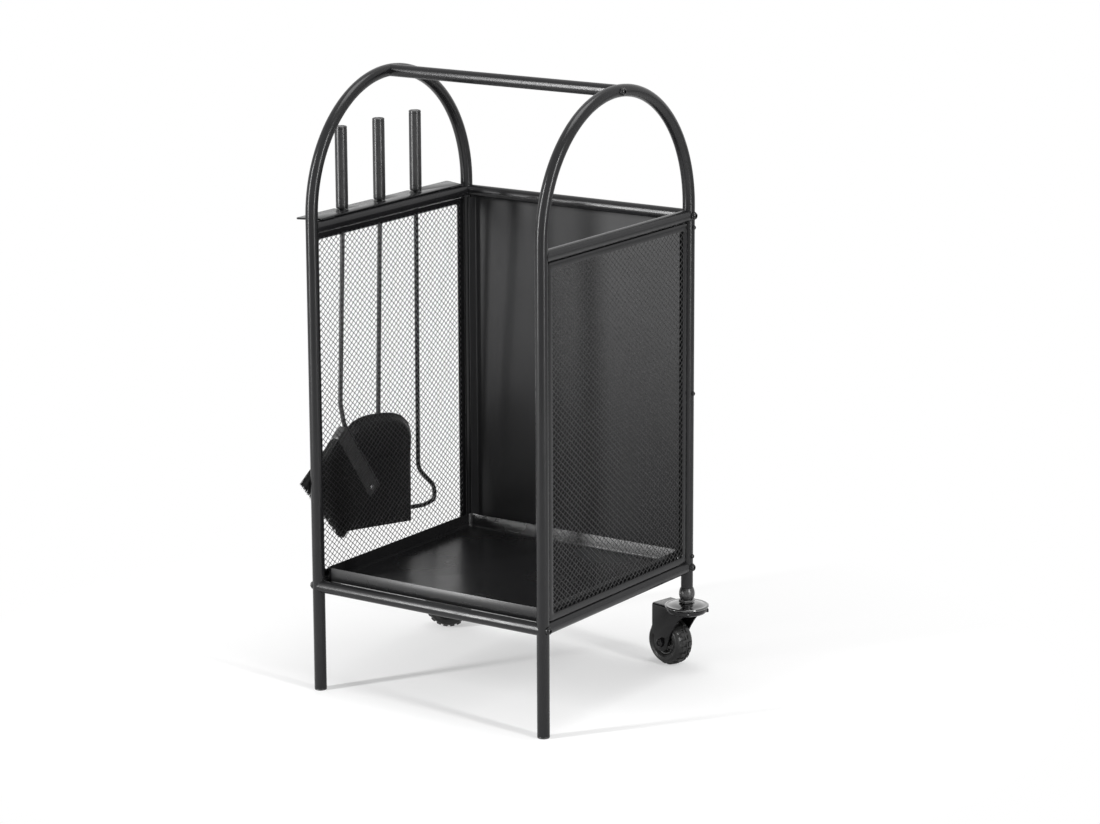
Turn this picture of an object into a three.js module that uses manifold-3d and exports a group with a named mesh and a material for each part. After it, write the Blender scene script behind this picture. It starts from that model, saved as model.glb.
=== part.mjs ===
// Fireside log cart: two arched tube side frames, cross rails, mesh sides, back panel,
// tray, tool holder with three hanging tools, and two swivel casters.
// Units are millimetres, +Z is up, the open front faces -Y.
import * as THREE from "three";
import { mergeVertices } from "three/addons/utils/BufferGeometryUtils.js";
import Module from "manifold-3d";

const wasm = await Module();
wasm.setup();
const { Manifold, Mesh } = wasm;

// ---------------------------------------------------------------- driving sizes
const SEAT_GAP = 0.3; // clearance between pieces that touch
const CUT_REACH = 2; // how far a cutting bar runs past what it cuts
const HEIGHT = 800;
const FRAME_WIDTH = 351; // side frame to side frame, tube axes
const FRAME_DEPTH = 337; // front post to rear post, tube axes
const TUBE_RADIUS = 8;
const TUBE_WALL = 1.2;
const TUBE_SIDES = 12;
const ARCH_STEPS = 16;
const BEND_SHARE = 0.45; // most of a rod's straight stretch that one bend takes
const LOW_RAIL_Z = 140;
const HIGH_RAIL_Z = 610;
const REAR_LEG_END_Z = 112;
const RAIL_PLUG_LENGTH = 14; // solid threaded end inside each bolted rail

const FOOT_FLANGE = 2;
const FOOT_PLUG_LENGTH = 16;

const BOLT_RADIUS = 3;
const BOLT_HEAD_RADIUS = 5.5;
const BOLT_HEAD_HEIGHT = 3.6;
const BOLT_GRIP = 10; // thread engaged in the rail plug
const BOLT_SIDES = 8;
const HEAD_SHOULDER = 0.5; // where a fastener's head starts to close in, as a share of its height
const HEAD_CROWN = 0.6; // its flat top, as a share of its radius
const SCREW_RADIUS = 1.6;
const SCREW_HEAD_RADIUS = 3.2;
const SCREW_HEAD_HEIGHT = 2;
const SCREW_END_MARGIN = 7; // first and last screw from the ends of the back panel
const SCREW_TIP = 2; // how far a screw stands out of the flange it holds

const SIDE_PANEL_OFFSET = 4; // outer face of a mesh side beyond the tube axes
const PANEL_SHEET = 1;
const PANEL_FLANGE = 9;
const PANEL_LIP = 6;
const PANEL_CORNER = 5;
const NET_THICKNESS = 1;
const NET_STRAND = 1.6; // half the solid left between two gap tips
const NET_COLUMNS = 5;
const NET_ROWS = 6;

const BACK_SHEET = 1.2;
const BACK_FLANGE = 16;

const TRAY_SHEET = 1.2;
const TRAY_SIDE_REACH = 7; // tray side inside the tube axis of the rail that carries it
const TRAY_END_GAP = 0.7;
const TRAY_TOP_Z = 164;
const TRAY_CORNER = 5;

const HOLDER_SHEET = 2.2;
const HOLDER_INNER = 3; // strip edge inside the rail axis
const HOLDER_REACH = 29.5; // strip edge outside the rail axis
const HOLDER_OUTER_HALF = 165;
const HOLDER_INNER_HALF = 153;
const TOOL_SLOT_WIDTH = 8;
const TOOL_REACH = 19.5; // tool axis outside the rail axis
const TOOL_SLOT_INSET = 4; // slot's round end inside the tool axis
const TOOL_PITCH = 80;

const ROD_RADIUS = 3;
const ROD_SIDES = 8;
const HANDLE_RADIUS = 8;
const HANDLE_LENGTH = 107;
const HANDLE_ROUND = 1.5;
const HANDLE_SIDES = 12;
const HANDLE_SOCKET = 42; // depth of the rod socket in a handle
const ROD_BEND_RADIUS = 24;
const ROD_SOCKET_GAP = 2; // rod end short of the bottom of its socket
const ROD_KNEE_DROP = 30; // the rod is straight from its handle to this far under it
const TOOL_CLEARANCE = 0.6; // brush head to the posts, sideways
const PAN_CLEARANCE = 2; // shovel pan to the brush head, sideways

const BRUSH_LENGTH = 116;
const BRUSH_BLOCK_DEPTH = 22;
const BRUSH_THICKNESS = 11;
const BRUSH_ROUND = 3;
const BRUSH_DROP = 283; // under the handle, where the rod meets the head
const BRUSH_SHIFT = -11; // along the side from the tool's slot
const BRUSH_ELBOW_DROP = 255; // under the handle, where the rod starts to turn
const BRUSH_ELBOW_SHIFT = -18;
const BRUSH_SLOPE = THREE.MathUtils.degToRad(54.2); // how steeply the head runs down
const BRUSH_ROD_OVERHANG = 4; // rod past the head's low end
const BRISTLE_ROWS = 38;
const BRISTLE_FILES = 8;
const BRISTLE_RADIUS = 0.45;
const BRISTLE_LONG = 86;
const BRISTLE_SHORT = 73;
const BRISTLE_SLICE = 2.5;
const BRISTLE_MARGIN = 1.2;
const BRISTLE_INSET = 1; // the strands' backing inside the block's outline
const BRISTLE_SPLAY = 3; // how far the outermost strands lean out along the head
const BRUSH_RIVET_RADIUS = 2;
const BRUSH_RIVET_HEAD = 3.4;
const BRUSH_RIVET_INSET = 8;
const BRUSH_RIVET_RISE = 0.8;

const PAN_HALF_WIDTH = 78;
const PAN_LENGTH = 150;
const PAN_ARCH = 50;
const PAN_ARCH_POWER = 2.75;
const PAN_DEPTH = 8;
const PAN_SHEET = 1;
const PAN_WALL_RUN = 12; // how far the sloped wall runs in from the rim
const PAN_RIM_POINTS = 40;
const PAN_ARCH_SHARE = 0.6; // of the rim's points, those on the arch
const PAN_RIM_RUNOUT = 1.6; // how quickly the wall rises from the open edge
const PAN_CENTRE_SHARE = 0.62; // point that the wall leans towards, down the length
const PAN_TILT = THREE.MathUtils.degToRad(7.2);
const PAN_DROP = 291; // top of the pan under the handle
const PAN_SHIFT = 3;
const PAN_ROD_REACH = 68; // rod below the top of the pan
const POKER_PATH = [ // [sideways, along the side, drop] from the foot of its handle
  [-8, 8, 383],
  [-10, 47, 417],
  [-12, 51, 437],
  [-14, 28, 440],
  [-18, -38, 433],
];

const WHEEL_RADIUS = 32.5;
const TYRE_WIDTH = 30;
const TYRE_CROWN = 9;
const TREAD_LUGS = 20;
const TREAD_DEPTH = 1.6;
const TREAD_SHOULDER = 4.5;
const TREAD_HALF = 6.75; // flat crown, half its width
const TYRE_EDGE = 2; // shoulder inside the tyre's side
const HUB_RADIUS = 17;
const HUB_WIDTH = 24;
const HUB_SIDES = 12;
const HUB_BOSS_RADIUS = 7;
const AXLE_RADIUS = 3;
const AXLE_CLEARANCE = 0.12; // radial running clearance of a wheel on its axle
const AXLE_SIDES = 12;
const AXLE_BORE_SIDES = 8;
const AXLE_HEAD_RADIUS = 6;
const AXLE_HEAD_HEIGHT = 3.5;
const FORK_SHEET = 2.2;
const FORK_SIDE_GAP = 1.4; // between the tyre and each fork arm
const FORK_BACK = 16.5; // arm behind the axle
const FORK_EYE_RADIUS = 12; // arm round the axle
const FORK_SWEEP = 14; // how low the arm's front edge sweeps under the race
const FORK_RACE_CHAMFER = 5;
const CASTER_TRAIL = 30;
const CASTER_HEADINGS = { // way each wheel trails at rest, in degrees round from +X
  left: 215,
  right: 167.3,
};
const FORK_TOP_Z = 85;
const RACE_RADIUS = 27.5;
const RACE_HEIGHT = 8;
const RACE_SIDES = 20;
const CUP_RADIUS = 29.4;
const CUP_HEIGHT = 6;
const CUP_EDGE = 1.3; // rounding of the cup's rim
const CUP_SHOULDER = 5;
const CUP_SHOULDER_HEIGHT = 4.2;
const CUP_CROWN_RADIUS = 16;
const CUP_SIDES = 20;
const SWIVEL_CLEARANCE = 0.12; // radial running clearance of a fork on its stem
const STEM_RADIUS = 5;
const STEM_SIDES = 12;
const STEM_NUT_RADIUS = 11;
const STEM_HEAD_RADIUS = 8;
const STEM_HEAD_HEIGHT = 2.5;
const SOCKET_RADIUS = 10.4;
const SOCKET_LIP = 0.8; // collar's ends past the tube
const SOCKET_HEIGHT = 15;
const SOCKET_BULGE_LOW = 0.35; // widest stretch of the collar, as shares of its height
const SOCKET_BULGE_HIGH = 0.6;
const SOCKET_PLUG_LENGTH = 18;
const STEM_TOP_INSET = 4; // stem end below the top of the plug

// ---------------------------------------------------------------- derived places
const POST_X = FRAME_WIDTH / 2;
const POST_Y = FRAME_DEPTH / 2;
const ARCH_Z = HEIGHT - TUBE_RADIUS - POST_Y;
const APEX_Z = HEIGHT - TUBE_RADIUS;
const TUBE_BORE = TUBE_RADIUS - TUBE_WALL;
const BOLT_BORE = BOLT_RADIUS + SEAT_GAP;
const SCREW_BORE = SCREW_RADIUS + SEAT_GAP;
const POST_FACE_X = POST_X - TUBE_RADIUS;
const POST_FACE_Y = POST_Y - TUBE_RADIUS;
const PANEL_TOP_Z = HIGH_RAIL_Z - TUBE_RADIUS - SEAT_GAP;
const PANEL_LOW_Z = LOW_RAIL_Z + TUBE_RADIUS + SEAT_GAP;
const SCREW_HEIGHTS = [
  PANEL_LOW_Z + SCREW_END_MARGIN,
  (PANEL_LOW_Z + PANEL_TOP_Z) / 2,
  PANEL_TOP_Z - SCREW_END_MARGIN,
];
const HOLDER_LOW_Z = HIGH_RAIL_Z + TUBE_RADIUS + SEAT_GAP;
const HOLDER_TOP_Z = HOLDER_LOW_Z + HOLDER_SHEET;
const TOOL_X = -(POST_X + TOOL_REACH);
const HANDLE_LOW_Z = HOLDER_TOP_Z + SEAT_GAP;

// ---------------------------------------------------------------- materials
function finish(color, roughness, metalness) {
  return () => new THREE.MeshStandardMaterial({ color, roughness, metalness });
}
const powderCoat = finish(0x2b2b2c, 0.5, 0.25);
const blackPanel = finish(0x1d1d1e, 0.45, 0.25);
const blackWire = finish(0x202021, 0.55, 0.3);
const blackSteel = finish(0x151516, 0.35, 0.6);
const blackRubber = finish(0x141414, 0.8, 0.0);
const blackPlastic = finish(0x161616, 0.45, 0.0);
const bristleHair = finish(0x0f0f10, 0.85, 0.0);

// ---------------------------------------------------------------- mesh helpers
// Keeps positions only, joins equal corners, drops slivers and turns the skin outwards.
function tidy(geometry) {
  const bare = new THREE.BufferGeometry();
  bare.setAttribute("position", geometry.getAttribute("position").clone());
  if (geometry.index) bare.setIndex(geometry.index.clone());
  const merged = mergeVertices(bare, 1e-3);
  const source = merged.index.array;
  const corner = [new THREE.Vector3(), new THREE.Vector3(), new THREE.Vector3()];
  const kept = [];
  let volume = 0;
  for (let i = 0; i < source.length; i += 3) {
    const [a, b, c] = [source[i], source[i + 1], source[i + 2]];
    if (a === b || b === c || c === a) continue;
    [a, b, c].forEach((index, k) => corner[k].fromBufferAttribute(merged.attributes.position, index));
    volume += corner[0].dot(corner[1].cross(corner[2]));
    kept.push(a, b, c);
  }
  if (volume < 0) {
    for (let i = 0; i < kept.length; i += 3) [kept[i], kept[i + 1]] = [kept[i + 1], kept[i]];
  }
  merged.setIndex(kept);
  return merged;
}

function solidOf(geometry) {
  const skin = tidy(geometry);
  return new Manifold(new Mesh({
    numProp: 3,
    vertProperties: new Float32Array(skin.attributes.position.array),
    triVerts: new Uint32Array(skin.index.array),
  }));
}

function geometryOf(solid) {
  const mesh = solid.getMesh();
  const geometry = new THREE.BufferGeometry();
  geometry.setAttribute("position", new THREE.BufferAttribute(new Float32Array(mesh.vertProperties), 3));
  geometry.setIndex(new THREE.BufferAttribute(new Uint32Array(mesh.triVerts), 1));
  return geometry;
}

// ---------------------------------------------------------------- shape helpers
function circlePoints(radius, sides, turn = 0) {
  return Array.from({ length: sides }, (_, i) => {
    const angle = turn + (i / sides) * Math.PI * 2;
    return new THREE.Vector2(radius * Math.cos(angle), radius * Math.sin(angle));
  });
}

// A route through given points whose stations are exactly those points.
class Route extends THREE.Curve {
  constructor(points) {
    super();
    this.points = points;
  }

  getPointAt(u, target = new THREE.Vector3()) {
    const along = u * (this.points.length - 1);
    const from = Math.min(Math.floor(along + 1e-6), this.points.length - 2);
    return target.lerpVectors(this.points[from], this.points[from + 1], along - from);
  }

  getTangentAt(u, target = new THREE.Vector3()) {
    const last = this.points.length - 1;
    const at = Math.round(u * last);
    const before = this.points[Math.max(at - 1, 0)];
    const here = this.points[at];
    const after = this.points[Math.min(at + 1, last)];
    target.subVectors(after, here).normalize();
    target.addScaledVector(new THREE.Vector3().subVectors(here, before).normalize(), 1);
    return target.normalize();
  }
}

function sweep(points, radius, sides, bore = 0) {
  const section = new THREE.Shape(circlePoints(radius, sides));
  if (bore > 0) section.holes.push(new THREE.Path(circlePoints(bore, sides)));
  return new THREE.ExtrudeGeometry(section, {
    steps: points.length - 1,
    extrudePath: new Route(points),
    bevelEnabled: false,
    curveSegments: 1,
  });
}

// Rounds the corners of a bent rod's centre line.
function bentRoute(corners, bendRadius, steps = 3) {
  const route = [corners[0]];
  for (let i = 1; i < corners.length - 1; i += 1) {
    const here = corners[i];
    const back = new THREE.Vector3().subVectors(corners[i - 1], here);
    const ahead = new THREE.Vector3().subVectors(corners[i + 1], here);
    const half = back.angleTo(ahead) / 2;
    const room = BEND_SHARE * Math.min(back.length(), ahead.length());
    const reach = Math.min(bendRadius / Math.tan(half), room);
    const start = here.clone().addScaledVector(back.normalize(), reach);
    const end = here.clone().addScaledVector(ahead.normalize(), reach);
    const bend = new THREE.QuadraticBezierCurve3(start, here, end);
    route.push(...bend.getPoints(steps));
  }
  route.push(corners[corners.length - 1]);
  return route;
}

// A body of revolution about Z from [radius, z] pairs that start and end on the axis or close.
function turned(profile, sides) {
  const points = profile.map(([radius, z]) => new THREE.Vector2(radius, z));
  return new THREE.LatheGeometry(points, sides).rotateX(Math.PI / 2);
}

function turnedRing(profile, sides) {
  return turned([...profile, profile[0]], sides);
}

// The corner radius of a many-sided bore that a round pin of the given radius turns in.
function boreAround(radius, clearance, sides) {
  return (radius + clearance) / Math.cos(Math.PI / sides);
}

function barX(radius, x0, x1, y, z, sides = TUBE_SIDES) {
  const bar = new THREE.CylinderGeometry(radius, radius, x1 - x0, sides);
  return bar.rotateZ(-Math.PI / 2).translate((x0 + x1) / 2, y, z);
}

function barY(radius, y0, y1, x, z, sides = TUBE_SIDES) {
  return new THREE.CylinderGeometry(radius, radius, y1 - y0, sides).translate(x, (y0 + y1) / 2, z);
}

function barZ(radius, z0, z1, x, y, sides = TUBE_SIDES) {
  const bar = new THREE.CylinderGeometry(radius, radius, z1 - z0, sides);
  return bar.rotateX(Math.PI / 2).translate(x, y, (z0 + z1) / 2);
}

// A flat outline in (a, b) raised along a third direction.
const ALONG_X = new THREE.Matrix4().makeBasis(
  new THREE.Vector3(0, 1, 0), new THREE.Vector3(0, 0, 1), new THREE.Vector3(1, 0, 0));

function raised(shape, thickness) {
  return new THREE.ExtrudeGeometry(shape, { depth: thickness, bevelEnabled: false, curveSegments: 2 });
}

function roundedBox(a0, b0, a1, b1, radius, Kind = THREE.Shape) {
  const outline = new Kind();
  outline.moveTo(a0 + radius, b0);
  outline.lineTo(a1 - radius, b0);
  outline.absarc(a1 - radius, b0 + radius, radius, -Math.PI / 2, 0);
  outline.lineTo(a1, b1 - radius);
  outline.absarc(a1 - radius, b1 - radius, radius, 0, Math.PI / 2);
  outline.lineTo(a0 + radius, b1);
  outline.absarc(a0 + radius, b1 - radius, radius, Math.PI / 2, Math.PI);
  outline.lineTo(a0, b0 + radius);
  outline.absarc(a0 + radius, b0 + radius, radius, Math.PI, Math.PI * 1.5);
  return outline;
}

// ---------------------------------------------------------------- the assembly
const cart = new THREE.Group();

function addPiece(name, geometry, material, parent = cart) {
  const piece = new THREE.Mesh(tidy(geometry), material());
  piece.name = name;
  parent.add(piece);
  return piece;
}

const SIDES = [
  { name: "left", sign: -1 },
  { name: "right", sign: 1 },
];

// ---------------------------------------------------------------- tube frames
function hoopRoute(sign) {
  const x = sign * POST_X;
  const route = [new THREE.Vector3(x, -POST_Y, FOOT_FLANGE + SEAT_GAP)];
  for (let i = 0; i <= ARCH_STEPS; i += 1) {
    const angle = Math.PI - (i / ARCH_STEPS) * Math.PI;
    route.push(new THREE.Vector3(x, POST_Y * Math.cos(angle), ARCH_Z + POST_Y * Math.sin(angle)));
  }
  route.push(new THREE.Vector3(x, POST_Y, REAR_LEG_END_Z));
  return route;
}

// Where bolts run along X: the rails' end centres.
const BOLT_PLACES = [
  { name: "apex", y: 0, z: APEX_Z },
  { name: "rear_top", y: POST_Y, z: HIGH_RAIL_Z },
  { name: "rear_low", y: POST_Y, z: LOW_RAIL_Z },
  { name: "front_low", y: -POST_Y, z: LOW_RAIL_Z },
];

function acrossPost(sign, radius, y, z, sides) {
  const reach = TUBE_RADIUS + CUT_REACH;
  return solidOf(barX(radius, sign * POST_X - reach, sign * POST_X + reach, y, z, sides));
}

function hoopSolid(sign) {
  let hoop = solidOf(sweep(hoopRoute(sign), TUBE_RADIUS, TUBE_SIDES, TUBE_BORE));
  for (const { y, z } of BOLT_PLACES) hoop = hoop.subtract(acrossPost(sign, BOLT_BORE, y, z, BOLT_SIDES));
  for (const z of SCREW_HEIGHTS) hoop = hoop.subtract(acrossPost(sign, SCREW_BORE, POST_Y, z, 6));
  return hoop;
}

// The room that a side frame takes with its seat clearance, for coping the rails that butt on it.
const hoopRoom = SIDES.map(({ sign }) => solidOf(sweep(hoopRoute(sign), TUBE_RADIUS + SEAT_GAP, TUBE_SIDES)));

function cope(solid) {
  return hoopRoom.reduce((left, room) => left.subtract(room), solid);
}

// The side rails' room, where a cross rail meets a post at the same height.
const sideRailRoom = SIDES.flatMap(({ sign }) => [LOW_RAIL_Z, HIGH_RAIL_Z].map(
  (z) => solidOf(barY(TUBE_RADIUS + SEAT_GAP, -POST_Y, POST_Y, sign * POST_X, z))));

// A hollow cross rail with solid threaded ends, coped to the side frames.
function crossRail(y, z) {
  const plugFace = POST_FACE_X - RAIL_PLUG_LENGTH;
  const bar = cope(solidOf(barX(TUBE_RADIUS, -POST_X, POST_X, y, z)));
  const tube = sideRailRoom.reduce((left, room) => left.subtract(room), bar);
  const hollow = solidOf(barX(TUBE_BORE, -plugFace, plugFace, y, z));
  const thread = solidOf(barX(BOLT_BORE, -POST_X, POST_X, y, z, BOLT_SIDES));
  return geometryOf(largest(tube.subtract(hollow).subtract(thread)));
}

// Coping can leave a crumb beyond the post, so the longest body is the rail.
function largest(solid) {
  const bodies = solid.decompose();
  return bodies.reduce((best, body) => (body.volume() > best.volume() ? body : best));
}

// A hollow front-to-back rail welded between the posts of one side frame.
function sideRail(sign, z) {
  const tube = solidOf(barY(TUBE_RADIUS, -POST_Y, POST_Y, sign * POST_X, z));
  const hollow = solidOf(barY(TUBE_BORE, -POST_Y, POST_Y, sign * POST_X, z));
  let rail = cope(tube.subtract(hollow));
  for (const place of BOLT_PLACES) {
    rail = rail.subtract(acrossPost(sign, BOLT_BORE, place.y, place.z, BOLT_SIDES));
  }
  return geometryOf(largest(rail));
}

for (const { name, sign } of SIDES) {
  addPiece(`${name}_hoop`, geometryOf(hoopSolid(sign)), powderCoat);
  addPiece(`${name}_top_side_rail`, sideRail(sign, HIGH_RAIL_Z), powderCoat);
  addPiece(`${name}_low_side_rail`, sideRail(sign, LOW_RAIL_Z), powderCoat);
}
addPiece("handle_bar", crossRail(0, APEX_Z), powderCoat);
addPiece("rear_top_rail", crossRail(POST_Y, HIGH_RAIL_Z), powderCoat);
addPiece("rear_low_rail", crossRail(POST_Y, LOW_RAIL_Z), powderCoat);
addPiece("front_low_rail", crossRail(-POST_Y, LOW_RAIL_Z), powderCoat);

// ---------------------------------------------------------------- bolts, screws, foot plugs
// A fastener along X that points inwards from the outer face of a side frame.
function fastener(headRadius, headHeight, shankRadius, shankLength, sides) {
  const seat = TUBE_RADIUS + SEAT_GAP;
  return turned([
    [0, seat - shankLength],
    [shankRadius, seat - shankLength],
    [shankRadius, seat],
    [headRadius, seat],
    [headRadius, seat + headHeight * HEAD_SHOULDER],
    [headRadius * HEAD_CROWN, seat + headHeight],
    [0, seat + headHeight],
  ], sides).rotateY(Math.PI / 2);
}

function placeFastener(name, geometry, sign, y, z) {
  const piece = addPiece(name, geometry, blackSteel);
  piece.position.set(sign * POST_X, y, z);
  if (sign < 0) piece.rotation.z = Math.PI;
}

const boltLength = 2 * (TUBE_RADIUS + SEAT_GAP) + BOLT_GRIP;
const screwLength = 2 * (TUBE_RADIUS + SEAT_GAP) + BACK_SHEET + SCREW_TIP;
for (const { name, sign } of SIDES) {
  for (const place of BOLT_PLACES) {
    const bolt = fastener(BOLT_HEAD_RADIUS, BOLT_HEAD_HEIGHT, BOLT_RADIUS, boltLength, BOLT_SIDES);
    placeFastener(`${name}_${place.name}_bolt`, bolt, sign, place.y, place.z);
  }
  SCREW_HEIGHTS.forEach((z, i) => {
    const screw = fastener(SCREW_HEAD_RADIUS, SCREW_HEAD_HEIGHT, SCREW_RADIUS, screwLength, 6);
    placeFastener(`${name}_back_screw_${i + 1}`, screw, sign, POST_Y, z);
  });
  const plug = addPiece(`${name}_foot_plug`, turned([
    [0, 0],
    [TUBE_RADIUS, 0],
    [TUBE_RADIUS, FOOT_FLANGE],
    [TUBE_BORE - SEAT_GAP, FOOT_FLANGE],
    [TUBE_BORE - SEAT_GAP, FOOT_FLANGE + FOOT_PLUG_LENGTH],
    [0, FOOT_FLANGE + FOOT_PLUG_LENGTH],
  ], TUBE_SIDES), blackPlastic);
  plug.position.set(sign * POST_X, -POST_Y, 0);
}

// ---------------------------------------------------------------- mesh sides
const PANEL_HALF_Y = POST_FACE_Y - SEAT_GAP;

function panelFrame() {
  const outline = () => roundedBox(-PANEL_HALF_Y, PANEL_LOW_Z, PANEL_HALF_Y, PANEL_TOP_Z, PANEL_CORNER);
  const hole = (inset, radius) => roundedBox(
    -PANEL_HALF_Y + inset, PANEL_LOW_Z + inset, PANEL_HALF_Y - inset, PANEL_TOP_Z - inset, radius, THREE.Path);
  const flange = outline();
  flange.holes.push(hole(PANEL_FLANGE, 1));
  const lip = outline();
  lip.holes.push(hole(PANEL_SHEET, PANEL_CORNER - PANEL_SHEET));
  const face = solidOf(raised(flange, PANEL_SHEET).translate(0, 0, PANEL_LIP - PANEL_SHEET));
  const wall = solidOf(raised(lip, PANEL_LIP));
  return geometryOf(face.add(wall)).applyMatrix4(ALONG_X);
}

// A flat net: full diamonds, and half ones along its edges.
function netSheet() {
  const inset = PANEL_SHEET + SEAT_GAP;
  const half = PANEL_HALF_Y - inset;
  const low = PANEL_LOW_Z + inset;
  const high = PANEL_TOP_Z - inset;
  const border = PANEL_FLANGE - inset + NET_STRAND;
  const stepY = (half - border) / NET_COLUMNS;
  const stepZ = (high - low - 2 * border) / (2 * NET_ROWS);
  const gaps = [];
  for (let column = 0; column <= 2 * NET_COLUMNS; column += 1) {
    for (let row = 0; row <= 2 * NET_ROWS; row += 1) {
      if ((column + row) % 2 === 1) gaps.push(solidOf(gap(column, row)));
    }
  }
  const sheet = raised(roundedBox(-half, low, half, high, PANEL_CORNER - PANEL_SHEET), NET_THICKNESS);
  return geometryOf(solidOf(sheet).subtract(Manifold.union(gaps))).applyMatrix4(ALONG_X);

  function gap(column, row) {
    const y = -half + border + column * stepY;
    const z = low + border + row * stepZ;
    const tips = [];
    if (column > 0) tips.push(new THREE.Vector2(y - stepY + NET_STRAND, z));
    if (row > 0) tips.push(new THREE.Vector2(y, z - stepZ + NET_STRAND));
    if (column < 2 * NET_COLUMNS) tips.push(new THREE.Vector2(y + stepY - NET_STRAND, z));
    if (row < 2 * NET_ROWS) tips.push(new THREE.Vector2(y, z + stepZ - NET_STRAND));
    return raised(new THREE.Shape(tips), 3 * NET_THICKNESS).translate(0, 0, -NET_THICKNESS);
  }
}

for (const { name, sign } of SIDES) {
  const frame = addPiece(`${name}_mesh_frame`, panelFrame(), powderCoat);
  const net = addPiece(`${name}_mesh`, netSheet(), blackWire);
  const outerX = POST_X + SIDE_PANEL_OFFSET;
  frame.position.x = sign * (outerX - PANEL_LIP);
  net.position.x = sign * (outerX - PANEL_SHEET - SEAT_GAP - NET_THICKNESS);
  if (sign < 0) {
    frame.rotation.z = Math.PI;
    net.rotation.z = Math.PI;
  }
}

// ---------------------------------------------------------------- back panel
function backPanel() {
  const half = POST_FACE_X - SEAT_GAP;
  const frontY = POST_Y - BACK_FLANGE / 2;
  const rearY = POST_Y + BACK_FLANGE / 2;
  const height = PANEL_TOP_Z - PANEL_LOW_Z;
  const channel = new THREE.Shape([
    new THREE.Vector2(-half, frontY),
    new THREE.Vector2(-half + BACK_SHEET, frontY),
    new THREE.Vector2(-half + BACK_SHEET, rearY - BACK_SHEET),
    new THREE.Vector2(half - BACK_SHEET, rearY - BACK_SHEET),
    new THREE.Vector2(half - BACK_SHEET, frontY),
    new THREE.Vector2(half, frontY),
    new THREE.Vector2(half, rearY),
    new THREE.Vector2(-half, rearY),
  ]);
  let panel = solidOf(raised(channel, height).translate(0, 0, PANEL_LOW_Z));
  for (const z of SCREW_HEIGHTS) {
    panel = panel.subtract(solidOf(barX(SCREW_BORE, -POST_X, POST_X, POST_Y, z, 6)));
  }
  return geometryOf(panel);
}

addPiece("back_panel", backPanel(), blackPanel);

// ---------------------------------------------------------------- tray
// The tray's low corners rest on the shoulders of the two side rails.
const railContact = TUBE_RADIUS + SEAT_GAP;
const TRAY_LOW_Z = LOW_RAIL_Z + Math.sqrt(railContact ** 2 - TRAY_SIDE_REACH ** 2);
const TRAY_HALF_X = POST_X - TRAY_SIDE_REACH;
const TRAY_HALF_Y = POST_FACE_Y - TRAY_END_GAP;

function tray() {
  const inner = TRAY_SHEET;
  const outside = raised(
    roundedBox(-TRAY_HALF_X, -TRAY_HALF_Y, TRAY_HALF_X, TRAY_HALF_Y, TRAY_CORNER),
    TRAY_TOP_Z - TRAY_LOW_Z).translate(0, 0, TRAY_LOW_Z);
  const inside = raised(
    roundedBox(-TRAY_HALF_X + inner, -TRAY_HALF_Y + inner, TRAY_HALF_X - inner, TRAY_HALF_Y - inner,
      TRAY_CORNER - inner), TRAY_TOP_Z - TRAY_LOW_Z).translate(0, 0, TRAY_LOW_Z + TRAY_SHEET);
  return geometryOf(solidOf(outside).subtract(solidOf(inside)));
}

addPiece("tray", tray(), blackPanel);

// ---------------------------------------------------------------- tool holder
const TOOL_PLACES = [-TOOL_PITCH, 0, TOOL_PITCH];

function toolHolder() {
  const outerX = -(POST_X + HOLDER_REACH);
  const innerX = -(POST_X - HOLDER_INNER);
  const slot = TOOL_SLOT_WIDTH / 2;
  const slotEnd = TOOL_X + TOOL_SLOT_INSET;
  const outline = new THREE.Shape();
  outline.moveTo(innerX, -HOLDER_INNER_HALF);
  outline.lineTo(innerX, HOLDER_INNER_HALF);
  outline.lineTo(outerX, HOLDER_OUTER_HALF);
  for (const y of [...TOOL_PLACES].reverse()) {
    outline.lineTo(outerX, y + slot);
    outline.lineTo(slotEnd, y + slot);
    outline.absarc(slotEnd, y, slot, Math.PI / 2, -Math.PI / 2, true);
    outline.lineTo(outerX, y - slot);
  }
  outline.lineTo(outerX, -HOLDER_OUTER_HALF);
  return raised(outline, HOLDER_SHEET).translate(0, 0, HOLDER_LOW_Z);
}

addPiece("tool_holder", toolHolder(), powderCoat);

// ---------------------------------------------------------------- tools
// Each rod starts in its handle, hangs through its slot and bends to its head.
const ROD_TOP_Z = HANDLE_LOW_Z + HANDLE_SOCKET - ROD_SOCKET_GAP;
const ROD_KNEE_Z = HANDLE_LOW_Z - ROD_KNEE_DROP;

function handle() {
  const bore = ROD_RADIUS + SEAT_GAP;
  return turned([
    [0, HANDLE_SOCKET],
    [bore, HANDLE_SOCKET],
    [bore, 0],
    [HANDLE_RADIUS - HANDLE_ROUND, 0],
    [HANDLE_RADIUS, HANDLE_ROUND],
    [HANDLE_RADIUS, HANDLE_LENGTH - HANDLE_ROUND],
    [HANDLE_RADIUS - HANDLE_ROUND, HANDLE_LENGTH],
    [0, HANDLE_LENGTH],
  ], HANDLE_SIDES);
}

function addHandle(name, y) {
  const grip = addPiece(name, handle(), powderCoat);
  grip.position.set(TOOL_X, y, HANDLE_LOW_Z);
}

function rodPoints(y, lower) {
  const upper = [
    new THREE.Vector3(TOOL_X, y, ROD_TOP_Z),
    new THREE.Vector3(TOOL_X, y, ROD_KNEE_Z),
  ];
  return bentRoute([...upper, ...lower], ROD_BEND_RADIUS);
}

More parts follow.
